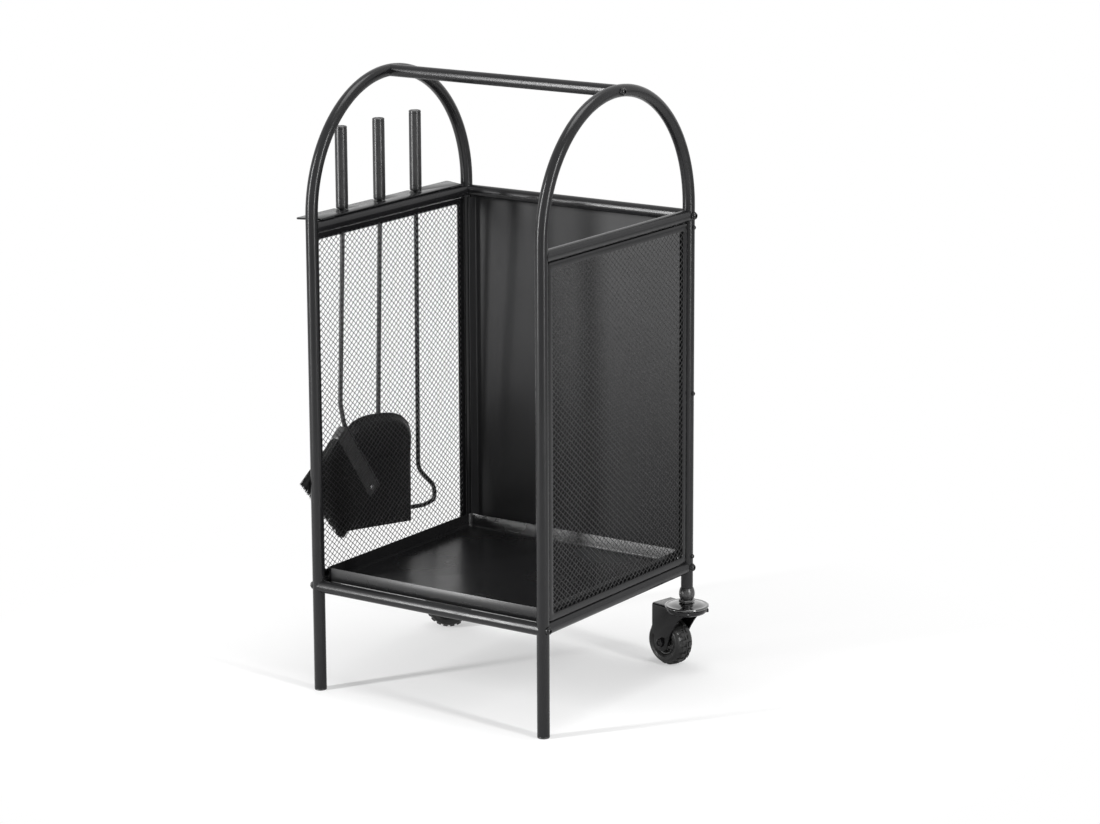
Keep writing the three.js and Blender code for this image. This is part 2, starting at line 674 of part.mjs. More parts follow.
// Brush: the rod turns and lies along the back of a slanted head.
const BRUSH_X = -(POST_X + TUBE_RADIUS + TOOL_CLEARANCE + BRUSH_THICKNESS / 2);
const BRUSH_TURN = new THREE.Vector3(BRUSH_X, -TOOL_PITCH + BRUSH_SHIFT, HANDLE_LOW_Z - BRUSH_DROP);
const BRUSH_ALONG = new THREE.Vector3(0, Math.cos(BRUSH_SLOPE), -Math.sin(BRUSH_SLOPE));
const BRUSH_OUT = new THREE.Vector3(0, BRUSH_ALONG.z, -BRUSH_ALONG.y);
const BRUSH_FRAME = new THREE.Matrix4()
  .makeBasis(BRUSH_ALONG, BRUSH_OUT, new THREE.Vector3().crossVectors(BRUSH_ALONG, BRUSH_OUT))
  .setPosition(BRUSH_TURN);
const BLOCK_START = ROD_RADIUS + SEAT_GAP; // distance of the head's back from the rod's axis
const BLOCK_END = BLOCK_START + BRUSH_BLOCK_DEPTH;
const rivetAlong = BRUSH_LENGTH - BRUSH_RIVET_INSET;
const rivetOut = BLOCK_START + BRUSH_BLOCK_DEPTH / 2;

function brushBlock() {
  const outline = roundedBox(0, BLOCK_START, BRUSH_LENGTH, BLOCK_END, BRUSH_ROUND);
  const block = solidOf(raised(outline, BRUSH_THICKNESS).translate(0, 0, -BRUSH_THICKNESS / 2));
  const bore = solidOf(barZ(
    BRUSH_RIVET_RADIUS + SEAT_GAP, -BRUSH_THICKNESS, BRUSH_THICKNESS, rivetAlong, rivetOut, ROD_SIDES));
  return geometryOf(block.subtract(bore)).applyMatrix4(BRUSH_FRAME);
}

function brushRivet() {
  const face = BRUSH_THICKNESS / 2 + SEAT_GAP;
  const rivet = turned([
    [0, -face - BRUSH_RIVET_RISE],
    [BRUSH_RIVET_HEAD, -face - BRUSH_RIVET_RISE / 2],
    [BRUSH_RIVET_HEAD, -face],
    [BRUSH_RIVET_RADIUS, -face],
    [BRUSH_RIVET_RADIUS, face],
    [BRUSH_RIVET_HEAD, face],
    [BRUSH_RIVET_HEAD, face + BRUSH_RIVET_RISE / 2],
    [0, face + BRUSH_RIVET_RISE],
  ], ROD_SIDES);
  return rivet.translate(rivetAlong, rivetOut, 0).applyMatrix4(BRUSH_FRAME);
}

// Straight three-sided strands that fan out evenly, so none cross.
function brushBristles() {
  const sliceLow = BLOCK_END + SEAT_GAP;
  const sliceHigh = sliceLow + BRISTLE_SLICE;
  const sliceThickness = BRUSH_THICKNESS - BRISTLE_INSET;
  const slice = roundedBox(
    BRISTLE_INSET, sliceLow, BRUSH_LENGTH - BRISTLE_INSET, sliceHigh, BRISTLE_INSET / 2);
  const strands = [];
  for (let row = 0; row < BRISTLE_ROWS; row += 1) {
    for (let file = 0; file < BRISTLE_FILES; file += 1) strands.push(solidOf(strand(row, file)));
  }
  const backing = solidOf(raised(slice, sliceThickness).translate(0, 0, -sliceThickness / 2));
  return geometryOf(Manifold.union([backing, ...strands])).applyMatrix4(BRUSH_FRAME);

  function strand(row, file) {
    const share = row / (BRISTLE_ROWS - 1);
    const side = file / (BRISTLE_FILES - 1) - 0.5;
    const room = BRUSH_LENGTH - 2 - 2 * BRISTLE_MARGIN;
    const along = 1 + BRISTLE_MARGIN + share * room;
    const lean = (share - 0.5) * 2 * BRISTLE_SPLAY;
    const depth = side * (BRUSH_THICKNESS - 1 - 2 * BRISTLE_MARGIN);
    const tip = THREE.MathUtils.lerp(BRISTLE_LONG, BRISTLE_SHORT, share) + BLOCK_END;
    return sweep([
      new THREE.Vector3(along, sliceLow + 1, depth),
      new THREE.Vector3(along + lean, tip, depth),
    ], BRISTLE_RADIUS, 3);
  }
}

const brushEnd = BRUSH_TURN.clone().addScaledVector(BRUSH_ALONG, BRUSH_LENGTH + BRUSH_ROD_OVERHANG);
addHandle("brush_handle", -TOOL_PITCH);
addPiece("brush_rod", sweep(rodPoints(-TOOL_PITCH, [
  new THREE.Vector3(BRUSH_X, -TOOL_PITCH + BRUSH_ELBOW_SHIFT, HANDLE_LOW_Z - BRUSH_ELBOW_DROP),
  BRUSH_TURN,
  brushEnd,
]), ROD_RADIUS, ROD_SIDES), powderCoat);
addPiece("brush_block", brushBlock(), blackPlastic);
addPiece("brush_rivet", brushRivet(), blackSteel);
addPiece("brush_bristles", brushBristles(), bristleHair);

// Shovel: a pressed pan, flat side to the mesh, with a sloped wall round its arched end.
const PAN_FLOOR_X = BRUSH_X - BRUSH_THICKNESS / 2 - PAN_CLEARANCE;
const PAN_TOP = new THREE.Vector3(0, PAN_SHIFT, HANDLE_LOW_Z - PAN_DROP);
const PAN_ACROSS = new THREE.Vector3(0, Math.cos(PAN_TILT), -Math.sin(PAN_TILT));
const PAN_DOWN = new THREE.Vector3(0, -Math.sin(PAN_TILT), -Math.cos(PAN_TILT));

// How far the rim stands off the floor at a share of the pan's length, zero at the open edge.
function rimDepth(share) {
  return PAN_DEPTH * Math.min(1, (1 - share) * PAN_RIM_RUNOUT);
}

// The rim's place at a share (0..1) round its outline, from the open edge over the arch and back.
function panOutline(count) {
  const points = [];
  const arch = Math.round(count * PAN_ARCH_SHARE);
  const side = (count - arch) / 2;
  for (let i = 0; i < side; i += 1) {
    const down = THREE.MathUtils.lerp(PAN_LENGTH, PAN_ARCH, i / side);
    points.push(new THREE.Vector2(-PAN_HALF_WIDTH, down));
  }
  for (let i = 0; i <= arch; i += 1) {
    const angle = Math.PI - (i / arch) * Math.PI;
    const across = Math.sign(Math.cos(angle)) * Math.abs(Math.cos(angle)) ** (2 / PAN_ARCH_POWER);
    const rise = Math.sin(angle) ** (2 / PAN_ARCH_POWER);
    points.push(new THREE.Vector2(across * PAN_HALF_WIDTH, PAN_ARCH * (1 - rise)));
  }
  for (let i = side - 1; i >= 0; i -= 1) {
    const down = THREE.MathUtils.lerp(PAN_LENGTH, PAN_ARCH, i / side);
    points.push(new THREE.Vector2(PAN_HALF_WIDTH, down));
  }
  return points;
}

function shovelPan() {
  const rim = panOutline(PAN_RIM_POINTS);
  const centre = new THREE.Vector2(0, PAN_LENGTH * PAN_CENTRE_SHARE);
  const bend = rim.map((point) => {
    const share = point.y / PAN_LENGTH;
    const run = PAN_WALL_RUN * Math.min(1, (1 - share) * PAN_RIM_RUNOUT);
    const inward = new THREE.Vector2().subVectors(centre, point);
    inward.y *= point.y > PAN_ARCH ? 0 : 1;
    return point.clone().addScaledVector(inward.normalize(), run);
  });
  const positions = [];
  const place = (point, lift, layer) => {
    const spot = new THREE.Vector3(PAN_FLOOR_X - lift - layer * PAN_SHEET, 0, 0).add(
      new THREE.Vector3(0, PAN_TOP.y, PAN_TOP.z));
    spot.addScaledVector(PAN_ACROSS, point.x).addScaledVector(PAN_DOWN, point.y);
    return spot;
  };
  const quad = (a, b, c, d) => positions.push(a, b, c, a, c, d);
  const last = rim.length - 1;
  for (let i = 0; i < last; i += 1) {
    const depthHere = rimDepth(rim[i].y / PAN_LENGTH);
    const depthNext = rimDepth(rim[i + 1].y / PAN_LENGTH);
    for (const layer of [0, 1]) {
      const wall = [
        place(rim[i], depthHere, layer),
        place(rim[i + 1], depthNext, layer),
        place(bend[i + 1], 0, layer),
        place(bend[i], 0, layer),
      ];
      if (layer === 1) wall.reverse();
      quad(...wall);
    }
    quad(place(rim[i], depthHere, 1), place(rim[i + 1], depthNext, 1),
      place(rim[i + 1], depthNext, 0), place(rim[i], depthHere, 0));
  }
  for (let i = 0; i < last / 2; i += 1) {
    const strip = [bend[i], bend[i + 1], bend[last - i - 1], bend[last - i]];
    quad(...strip.map((point) => place(point, 0, 0)));
    quad(...strip.map((point) => place(point, 0, 1)).reverse());
  }
  quad(place(bend[0], 0, 0), place(bend[last], 0, 0), place(bend[last], 0, 1), place(bend[0], 0, 1));
  return new THREE.BufferGeometry().setFromPoints(positions);
}

const panFloorRodX = PAN_FLOOR_X - PAN_SHEET - SEAT_GAP - ROD_RADIUS;
const panRodX = panFloorRodX - PAN_DEPTH;
addHandle("shovel_handle", 0);
addPiece("shovel_rod", sweep(rodPoints(0, [
  new THREE.Vector3(panRodX, PAN_SHIFT + 6, PAN_TOP.z - PAN_WALL_RUN / 2),
  new THREE.Vector3(panFloorRodX, PAN_SHIFT + 8, PAN_TOP.z - PAN_ROD_REACH / 2),
  new THREE.Vector3(panFloorRodX, PAN_SHIFT + 9, PAN_TOP.z - PAN_ROD_REACH),
]), ROD_RADIUS, ROD_SIDES), powderCoat);
addPiece("shovel_pan", shovelPan(), blackPanel);

// Poker: the rod sweeps out and back into a hook that passes outside the pan.
addHandle("poker_handle", TOOL_PITCH);
const pokerCorners = POKER_PATH.map(([out, along, drop]) => new THREE.Vector3(
  TOOL_X + out, TOOL_PITCH + along, HANDLE_LOW_Z - drop));
addPiece("poker_rod", sweep(rodPoints(TOOL_PITCH, pokerCorners), ROD_RADIUS, ROD_SIDES), powderCoat);

// ---------------------------------------------------------------- casters
function casterSocket() {
  const plug = TUBE_BORE - SEAT_GAP;
  const bore = boreAround(STEM_RADIUS, SEAT_GAP, TUBE_SIDES);
  const top = REAR_LEG_END_Z - SEAT_GAP;
  const low = top - SOCKET_HEIGHT;
  return turnedRing([
    [bore, low],
    [TUBE_RADIUS + SOCKET_LIP, low],
    [SOCKET_RADIUS, low + SOCKET_HEIGHT * SOCKET_BULGE_LOW],
    [SOCKET_RADIUS, low + SOCKET_HEIGHT * SOCKET_BULGE_HIGH],
    [TUBE_RADIUS + SOCKET_LIP / 2, top],
    [plug, top],
    [plug, top + SOCKET_PLUG_LENGTH],
    [bore, top + SOCKET_PLUG_LENGTH],
  ], TUBE_SIDES);
}

const SOCKET_LOW_Z = REAR_LEG_END_Z - SEAT_GAP - SOCKET_HEIGHT;
const CUP_TOP_Z = FORK_TOP_Z + SEAT_GAP + CUP_HEIGHT;
const STEM_LOW_Z = FORK_TOP_Z - RACE_HEIGHT - SEAT_GAP;
const STEM_TOP_Z = REAR_LEG_END_Z + SOCKET_PLUG_LENGTH - STEM_TOP_INSET;

// The threaded stem with its locking hex and the headed end that carries the fork.
function casterStem() {
  const nutLow = CUP_TOP_Z + SEAT_GAP;
  const nut = solidOf(barZ(STEM_NUT_RADIUS, nutLow, SOCKET_LOW_Z - SEAT_GAP, 0, 0, 6));
  const shaft = solidOf(barZ(
    STEM_RADIUS, STEM_LOW_Z - STEM_HEAD_HEIGHT, STEM_TOP_Z, 0, 0, STEM_SIDES));
  const head = solidOf(barZ(STEM_HEAD_RADIUS, STEM_LOW_Z - STEM_HEAD_HEIGHT, STEM_LOW_Z, 0, 0, STEM_SIDES));
  return geometryOf(Manifold.union([nut, shaft, head]));
}

// The domed upper race that stays still over the fork.
function swivelCup() {
  const bore = boreAround(STEM_RADIUS, SEAT_GAP, CUP_SIDES);
  const low = FORK_TOP_Z + SEAT_GAP;
  return turnedRing([
    [bore, low],
    [CUP_RADIUS - CUP_EDGE, low],
    [CUP_RADIUS, low + CUP_EDGE],
    [CUP_RADIUS, low + 2 * CUP_EDGE],
    [CUP_RADIUS - CUP_SHOULDER, low + CUP_SHOULDER_HEIGHT],
    [CUP_CROWN_RADIUS, CUP_TOP_Z],
    [bore, CUP_TOP_Z],
  ], CUP_SIDES);
}

// The swivelling fork: a race plate, a bridge over the wheel and two arms down to the axle.
const armInner = TYRE_WIDTH / 2 + FORK_SIDE_GAP;

function fork() {
  const low = FORK_TOP_Z - RACE_HEIGHT;
  const race = solidOf(turned([
    [0, low],
    [RACE_RADIUS - FORK_RACE_CHAMFER, low],
    [RACE_RADIUS, low + FORK_RACE_CHAMFER / 2],
    [RACE_RADIUS, FORK_TOP_Z],
    [0, FORK_TOP_Z],
  ], RACE_SIDES));
  const armBack = CASTER_TRAIL + FORK_BACK;
  const armFront = RACE_RADIUS - FORK_RACE_CHAMFER;
  const bridge = solidOf(new THREE.BoxGeometry(armBack, 2 * (armInner + FORK_SHEET), RACE_HEIGHT)
    .translate(armBack / 2, 0, low + RACE_HEIGHT / 2));
  const arm = new THREE.Shape();
  arm.moveTo(-armFront, FORK_TOP_Z - FORK_SHEET);
  arm.lineTo(-armFront, low);
  arm.quadraticCurveTo(0, low - FORK_SWEEP, CASTER_TRAIL - FORK_EYE_RADIUS, WHEEL_RADIUS + FORK_SHEET);
  arm.absarc(CASTER_TRAIL, WHEEL_RADIUS, FORK_EYE_RADIUS, Math.PI, Math.PI * 2);
  arm.lineTo(armBack, WHEEL_RADIUS + FORK_EYE_RADIUS);
  arm.lineTo(armBack, FORK_TOP_Z - FORK_SHEET);
  const armGeometry = () => raised(arm, FORK_SHEET).rotateX(Math.PI / 2);
  const near = solidOf(armGeometry().translate(0, -armInner, 0));
  const far = solidOf(armGeometry().translate(0, armInner + FORK_SHEET, 0));
  const bore = solidOf(barZ(
    boreAround(STEM_RADIUS, SWIVEL_CLEARANCE, STEM_SIDES),
    low - CUT_REACH, FORK_TOP_Z + CUT_REACH, 0, 0, STEM_SIDES));
  const axleHalf = armInner + FORK_SHEET + CUT_REACH;
  const axle = solidOf(barY(
    AXLE_RADIUS + SEAT_GAP, -axleHalf, axleHalf, CASTER_TRAIL, WHEEL_RADIUS, AXLE_BORE_SIDES));
  return geometryOf(Manifold.union([race, bridge, near, far]).subtract(bore).subtract(axle));
}

function axleBolt() {
  const outer = armInner + FORK_SHEET + SEAT_GAP;
  return turned([
    [0, -outer - AXLE_HEAD_HEIGHT],
    [AXLE_RADIUS, -outer - AXLE_HEAD_HEIGHT],
    [AXLE_RADIUS, outer],
    [AXLE_HEAD_RADIUS, outer],
    [AXLE_HEAD_RADIUS, outer + AXLE_HEAD_HEIGHT * HEAD_SHOULDER],
    [AXLE_HEAD_RADIUS * HEAD_CROWN, outer + AXLE_HEAD_HEIGHT],
    [0, outer + AXLE_HEAD_HEIGHT],
  ], AXLE_SIDES).rotateX(Math.PI / 2);
}

function axleNut() {
  const outer = armInner + FORK_SHEET + SEAT_GAP;
  const nut = solidOf(barY(AXLE_HEAD_RADIUS, outer, outer + AXLE_HEAD_HEIGHT, 0, 0, 6));
  const bore = solidOf(barY(
    AXLE_RADIUS + SEAT_GAP,
    outer - CUT_REACH, outer + AXLE_HEAD_HEIGHT + CUT_REACH, 0, 0, AXLE_BORE_SIDES));
  return geometryOf(nut.subtract(bore));
}

function wheelHub() {
  const bore = boreAround(AXLE_RADIUS, AXLE_CLEARANCE, HUB_SIDES);
  const rimHalf = HUB_WIDTH / 2;
  const bossHalf = armInner - SEAT_GAP;
  return turnedRing([
    [bore, -bossHalf],
    [HUB_BOSS_RADIUS, -bossHalf],
    [HUB_BOSS_RADIUS + 1, -4],
    [HUB_RADIUS - 3, -4],
    [HUB_RADIUS - 2, -rimHalf],
    [HUB_RADIUS, -rimHalf],
    [HUB_RADIUS, rimHalf],
    [HUB_RADIUS - 2, rimHalf],
    [HUB_RADIUS - 3, 4],
    [HUB_BOSS_RADIUS + 1, 4],
    [HUB_BOSS_RADIUS, bossHalf],
    [bore, bossHalf],
  ], HUB_SIDES).rotateX(Math.PI / 2);
}

// A knobbly tyre: a round section whose crown is stepped in and out round the wheel.
function tyre() {
  const steps = TREAD_LUGS * 2;
  const half = TYRE_WIDTH / 2;
  const seat = boreAround(HUB_RADIUS, SEAT_GAP, steps);
  const section = (crown) => [
    [seat, -HUB_WIDTH / 2],
    [WHEEL_RADIUS - TYRE_CROWN, -half],
    [crown - TREAD_SHOULDER, TYRE_EDGE - half],
    [crown, -TREAD_HALF],
    [crown, TREAD_HALF],
    [crown - TREAD_SHOULDER, half - TYRE_EDGE],
    [WHEEL_RADIUS - TYRE_CROWN, half],
    [seat, HUB_WIDTH / 2],
  ];
  const rings = Array.from({ length: steps }, (_, i) => {
    const angle = (i / steps) * Math.PI * 2;
    return section(i % 2 === 0 ? WHEEL_RADIUS : WHEEL_RADIUS - TREAD_DEPTH).map(([radius, y]) =>
      new THREE.Vector3(radius * Math.cos(angle), y, radius * Math.sin(angle)));
  });
  const positions = [];
  rings.forEach((ring, i) => {
    const next = rings[(i + 1) % steps];
    ring.forEach((point, k) => {
      const m = (k + 1) % ring.length;
      positions.push(point, next[k], next[m], point, next[m], ring[m]);
    });
  });
  return new THREE.BufferGeometry().setFromPoints(positions);
}

for (const { name, sign } of SIDES) {
  const caster = new THREE.Group();
  caster.position.set(sign * POST_X, POST_Y, 0);
  cart.add(caster);
  addPiece(`${name}_caster_socket`, casterSocket(), blackPlastic, caster);
  addPiece(`${name}_caster_stem`, casterStem(), blackSteel, caster);
  addPiece(`${name}_swivel_cup`, swivelCup(), blackSteel, caster);
  const swivel = new THREE.Group();
  swivel.rotation.z = THREE.MathUtils.degToRad(CASTER_HEADINGS[name]);
  caster.add(swivel);
  addPiece(`${name}_fork`, fork(), blackSteel, swivel);
  const axle = new THREE.Group();
  axle.position.set(CASTER_TRAIL, 0, WHEEL_RADIUS);
  swivel.add(axle);
  addPiece(`${name}_axle_bolt`, axleBolt(), blackSteel, axle);
  addPiece(`${name}_axle_nut`, axleNut(), blackSteel, axle);
  addPiece(`${name}_wheel_hub`, wheelHub(), blackPlastic, axle);
  addPiece(`${name}_tyre`, tyre(), blackRubber, axle);
}

// ---------------------------------------------------------------- origin
// The origin is the middle of the footprint, on the floor.
cart.updateMatrixWorld(true);
const box = new THREE.Box3().setFromObject(cart, true);
cart.position.set(-(box.min.x + box.max.x) / 2, -(box.min.y + box.max.y) / 2, -box.min.z);

export default cart;
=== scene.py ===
# Fireside log cart: black powder-coated tube frame with woven wire sides, a sheet back and
# tray, three hearth tools in a slotted holder, and two rubber-tyred swivel casters.
import math

import bmesh
import bpy
from mathutils import Matrix, Vector


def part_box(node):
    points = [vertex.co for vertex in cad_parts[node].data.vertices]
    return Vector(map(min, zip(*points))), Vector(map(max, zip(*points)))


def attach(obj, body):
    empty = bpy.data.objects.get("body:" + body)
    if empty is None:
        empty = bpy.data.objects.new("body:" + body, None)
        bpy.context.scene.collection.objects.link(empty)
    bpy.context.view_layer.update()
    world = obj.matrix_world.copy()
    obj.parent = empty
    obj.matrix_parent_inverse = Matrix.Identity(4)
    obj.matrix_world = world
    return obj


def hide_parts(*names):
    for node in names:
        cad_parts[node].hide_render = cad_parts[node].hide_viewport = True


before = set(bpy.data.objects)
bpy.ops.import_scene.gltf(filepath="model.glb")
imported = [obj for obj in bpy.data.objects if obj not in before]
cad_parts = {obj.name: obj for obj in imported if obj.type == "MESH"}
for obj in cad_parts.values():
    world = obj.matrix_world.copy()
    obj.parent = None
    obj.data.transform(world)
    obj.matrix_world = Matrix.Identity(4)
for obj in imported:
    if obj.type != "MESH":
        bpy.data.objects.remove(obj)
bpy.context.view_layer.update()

# ------------------------------------------------------------------ sizes, in millimetres
POST_X = 175.5
POST_Y = 168.5
TUBE = 8.0
ARCH_Z = 623.5
APEX_Z = 792.0
LOW_RAIL_Z = 140.0
HIGH_RAIL_Z = 610.0
LEG_END_Z = 112.0
PANEL_LOW = 148.3
PANEL_TOP = 601.7
PANEL_Y = 160.2
PANEL_FACE = 4.0
HOLDER_LOW = 618.3
HOLDER_TOP = 620.5
TOOL_X = -195.0
TOOL_Y = (-80.0, 0.0, 80.0)
HANDLE_FOOT = 620.8
SIDES = (("left", -1), ("right", 1))

hoop_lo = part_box("left_hoop")[0]
hoop_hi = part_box("right_hoop")[1]
CENTRE = Vector(((hoop_lo.x + hoop_hi.x) / 2, (hoop_lo.y + hoop_hi.y) / 2, 0.0))
TO_METRES = Matrix.Translation(CENTRE) @ Matrix.Scale(0.001, 4)


# ------------------------------------------------------------------ materials
class Finish:
    """A node material: a Principled shader with grain, tone and bump on object coordinates."""

    def __init__(self, name, color, roughness, metallic=0.0, specular=0.5, coat=0.0, coat_roughness=0.1):
        self.material = bpy.data.materials.new(name)
        self.material.use_nodes = True
        self.nodes = self.material.node_tree.nodes
        self.links = self.material.node_tree.links
        self.shader = self.nodes["Principled BSDF"]
        self.color = color
        self.roughness = roughness
        self.shader.inputs["Base Color"].default_value = (*color, 1.0)
        self.shader.inputs["Roughness"].default_value = roughness
        self.shader.inputs["Metallic"].default_value = metallic
        self.shader.inputs["Specular IOR Level"].default_value = specular
        self.shader.inputs["Coat Weight"].default_value = coat
        self.shader.inputs["Coat Roughness"].default_value = coat_roughness
        self.coords = self.nodes.new("ShaderNodeTexCoord").outputs["Object"]
        self.height = None

    def noise(self, scale, detail=2.0, stretch=(1, 1, 1)):
        mapping = self.nodes.new("ShaderNodeMapping")
        mapping.inputs["Scale"].default_value = stretch
        self.links.new(self.coords, mapping.inputs["Vector"])
        noise = self.nodes.new("ShaderNodeTexNoise")
        noise.inputs["Scale"].default_value = scale
        noise.inputs["Detail"].default_value = detail
        self.links.new(mapping.outputs["Vector"], noise.inputs["Vector"])
        return noise.outputs["Fac"]

    def spread(self, value, low, high):
        ramp = self.nodes.new("ShaderNodeMapRange")
        ramp.inputs["From Min"].default_value = 0.3
        ramp.inputs["From Max"].default_value = 0.7
        ramp.inputs["To Min"].default_value = low
        ramp.inputs["To Max"].default_value = high
        self.links.new(value, ramp.inputs["Value"])
        return ramp.outputs["Result"]

    def tone(self, scale, change, detail=3.0):
        """Lightens and darkens the colour a little over the surface."""
        factor = self.spread(self.noise(scale, detail), 1.0 - change, 1.0 + change)
        mix = self.nodes.new("ShaderNodeVectorMath")
        mix.operation = "SCALE"
        mix.inputs[0].default_value = self.color
        self.links.new(factor, mix.inputs["Scale"])
        self.links.new(mix.outputs["Vector"], self.shader.inputs["Base Color"])
        return self

    def sheen_change(self, scale, change, detail=3.0):
        """Varies the roughness, as handling and uneven coating do."""
        factor = self.spread(self.noise(scale, detail), self.roughness - change, self.roughness + change)
        self.links.new(factor, self.shader.inputs["Roughness"])
        return self

    def grain(self, scale, strength, depth, detail=2.0, stretch=(1, 1, 1)):
        """Adds one layer of bump; layers stack."""
        bump = self.nodes.new("ShaderNodeBump")
        bump.inputs["Strength"].default_value = strength
        bump.inputs["Distance"].default_value = depth
        self.links.new(self.noise(scale, detail, stretch), bump.inputs["Height"])
        if self.height is not None:
            self.links.new(self.height, bump.inputs["Normal"])
        self.height = bump.outputs["Normal"]
        self.links.new(self.height, self.shader.inputs["Normal"])
        return self


def finish(name, color, roughness, tone, sheen, grains, **shader):
    """A finish with its tone and sheen (scale, change) and its layers of grain, first to last."""
    made = Finish(name, color, roughness, **shader)
    made.tone(*tone)
    if sheen:
        made.sheen_change(*sheen)
    for layer in grains:
        made.grain(*layer)
    return made.material


def sheet_coat(name, depth, roughness, specular):
    return finish(name, (depth, depth, depth * 1.05), roughness, (12, 0.08), (9, 0.02),
                  [(1400, 0.25, 0.00004, 3), (5, 0.06, 0.0004, 1)], specular=specular)


POWDER = finish("charcoal_powder_coat", (0.0085, 0.0085, 0.0091), 0.23, (18, 0.14), (45, 0.03),
                [(900, 0.12, 0.00005, 3), (2600, 0.12, 0.00002, 1)], specular=0.25)
BACK_SHEET = sheet_coat("black_back_coat", 0.0135, 0.5, 0.25)
SHEET = sheet_coat("black_sheet_coat", 0.0085, 0.27, 0.3)
PAN_SHEET = sheet_coat("black_pan_coat", 0.006, 0.34, 0.3)
RODS = finish("black_rod_coat", (0.014, 0.014, 0.0145), 0.3, (30, 0.15), (60, 0.04),
              [(1100, 0.25, 0.00005, 3)], specular=0.45)
WIRE = finish("black_mesh_coat", (0.013, 0.013, 0.0135), 0.3, (60, 0.15), None, [(1800, 0.3, 0.00006, 2)])
STEEL = finish("black_plated_steel", (0.005, 0.005, 0.0055), 0.2, (40, 0.2), (120, 0.05),
               [(700, 0.2, 0.00005, 2)], specular=0.32, coat=0.06, coat_roughness=0.08)
POLISHED = finish("black_polished_steel", (0.004, 0.004, 0.0045), 0.13, (40, 0.2), (120, 0.03),
                  [(700, 0.08, 0.00003, 2)], specular=0.8, coat=1.0, coat_roughness=0.06)
PLASTIC = finish("black_moulded_plastic", (0.022, 0.022, 0.022), 0.28, (60, 0.1), (150, 0.06),
                 [(2200, 0.25, 0.00005, 2)], specular=0.6)
HEAD_PAINT = finish("black_brush_head_paint", (0.042, 0.042, 0.042), 0.36, (50, 0.15), (90, 0.05),
                    [(1200, 0.25, 0.00006, 2, (1, 0.3, 0.3))])
RUBBER = finish("black_tyre_rubber", (0.007, 0.007, 0.007), 0.38, (70, 0.2), (200, 0.1),
                [(1200, 0.45, 0.0001, 3)], specular=0.4)
BRISTLE = finish("black_bristle_fibre", (0.006, 0.006, 0.006), 0.5, (400, 0.6), None,
                 [(1500, 0.4, 0.0001, 2, (1, 1, 0.1))], specular=0.25)
ZINC = finish("bright_zinc", (0.33, 0.33, 0.34), 0.3, (200, 0.12), (300, 0.06),
              [(1500, 0.2, 0.00004, 2)], metallic=0.9)


# ------------------------------------------------------------------ mesh tools
def mesh_of(name, verts, faces):
    mesh = bpy.data.meshes.new(name)
    mesh.from_pydata([tuple(v) for v in verts], [], faces)
    return mesh


def outward(mesh):
    """Merges doubles and turns every face outwards."""
    bm = bmesh.new()
    bm.from_mesh(mesh)
    bmesh.ops.remove_doubles(bm, verts=bm.verts, dist=1e-4)
    bmesh.ops.recalc_face_normals(bm, faces=bm.faces)
    bm.to_mesh(mesh)
    bm.free()
    return mesh


def join(*meshes):
    """One mesh of several shells."""
    bm = bmesh.new()
    for mesh in meshes:
        bm.from_mesh(mesh)
    joined = bpy.data.meshes.new(meshes[0].name)
    bm.to_mesh(joined)
    bm.free()
    return joined


def moved(mesh, matrix):
    mesh.transform(matrix)
    return mesh


def evaluated(obj):
    """The object's mesh with its modifiers applied, on an object without them."""
    bpy.context.view_layer.update()
    depsgraph = bpy.context.evaluated_depsgraph_get()
    mesh = bpy.data.meshes.new_from_object(obj.evaluated_get(depsgraph), depsgraph=depsgraph)
    bpy.data.objects.remove(obj)
    return mesh


def loose_object(mesh):
    obj = bpy.data.objects.new(mesh.name, mesh)
    bpy.context.scene.collection.objects.link(obj)
    return obj


def softened(mesh, width, segments=2, angle=35):
    """Rounds the sharp edges."""
    obj = loose_object(mesh)
    bevel = obj.modifiers.new("rounding", "BEVEL")
    bevel.width = width
    bevel.segments = segments
    bevel.limit_method = "ANGLE"
    bevel.angle_limit = math.radians(angle)
    return evaluated(obj)


def piece(name, mesh, material, slot, body, *nodes, smooth_angle=32):
    """A finished piece: placed in metres, shaded, riding on its body in place of its CAD nodes."""
    mesh.transform(TO_METRES)
    mesh.name = name
    mesh.materials.clear()
    mesh.materials.append(material)
    for polygon in mesh.polygons:
        polygon.material_index = 0
    mesh.shade_smooth()
    mesh.set_sharp_from_angle(angle=math.radians(smooth_angle))
    obj = bpy.data.objects.new(name, mesh)
    bpy.context.scene.collection.objects.link(obj)
    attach(obj, body)
    if nodes:
        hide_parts(*nodes)
    return obj


def rings(name, loops, closed=False):
    """Skins a list of equal vertex loops, end caps included."""
    count = len(loops[0])
    verts = [point for loop in loops for point in loop]
    faces = []
    for i in range(len(loops) if closed else len(loops) - 1):
        here, there = i * count, ((i + 1) % len(loops)) * count
        for k in range(count):
            m = (k + 1) % count
            faces.append((here + k, here + m, there + m, there + k))
    if not closed:
        faces.append(tuple(range(count)))
        faces.append(tuple(range((len(loops) - 1) * count, len(loops) * count)))
    return outward(mesh_of(name, verts, faces))


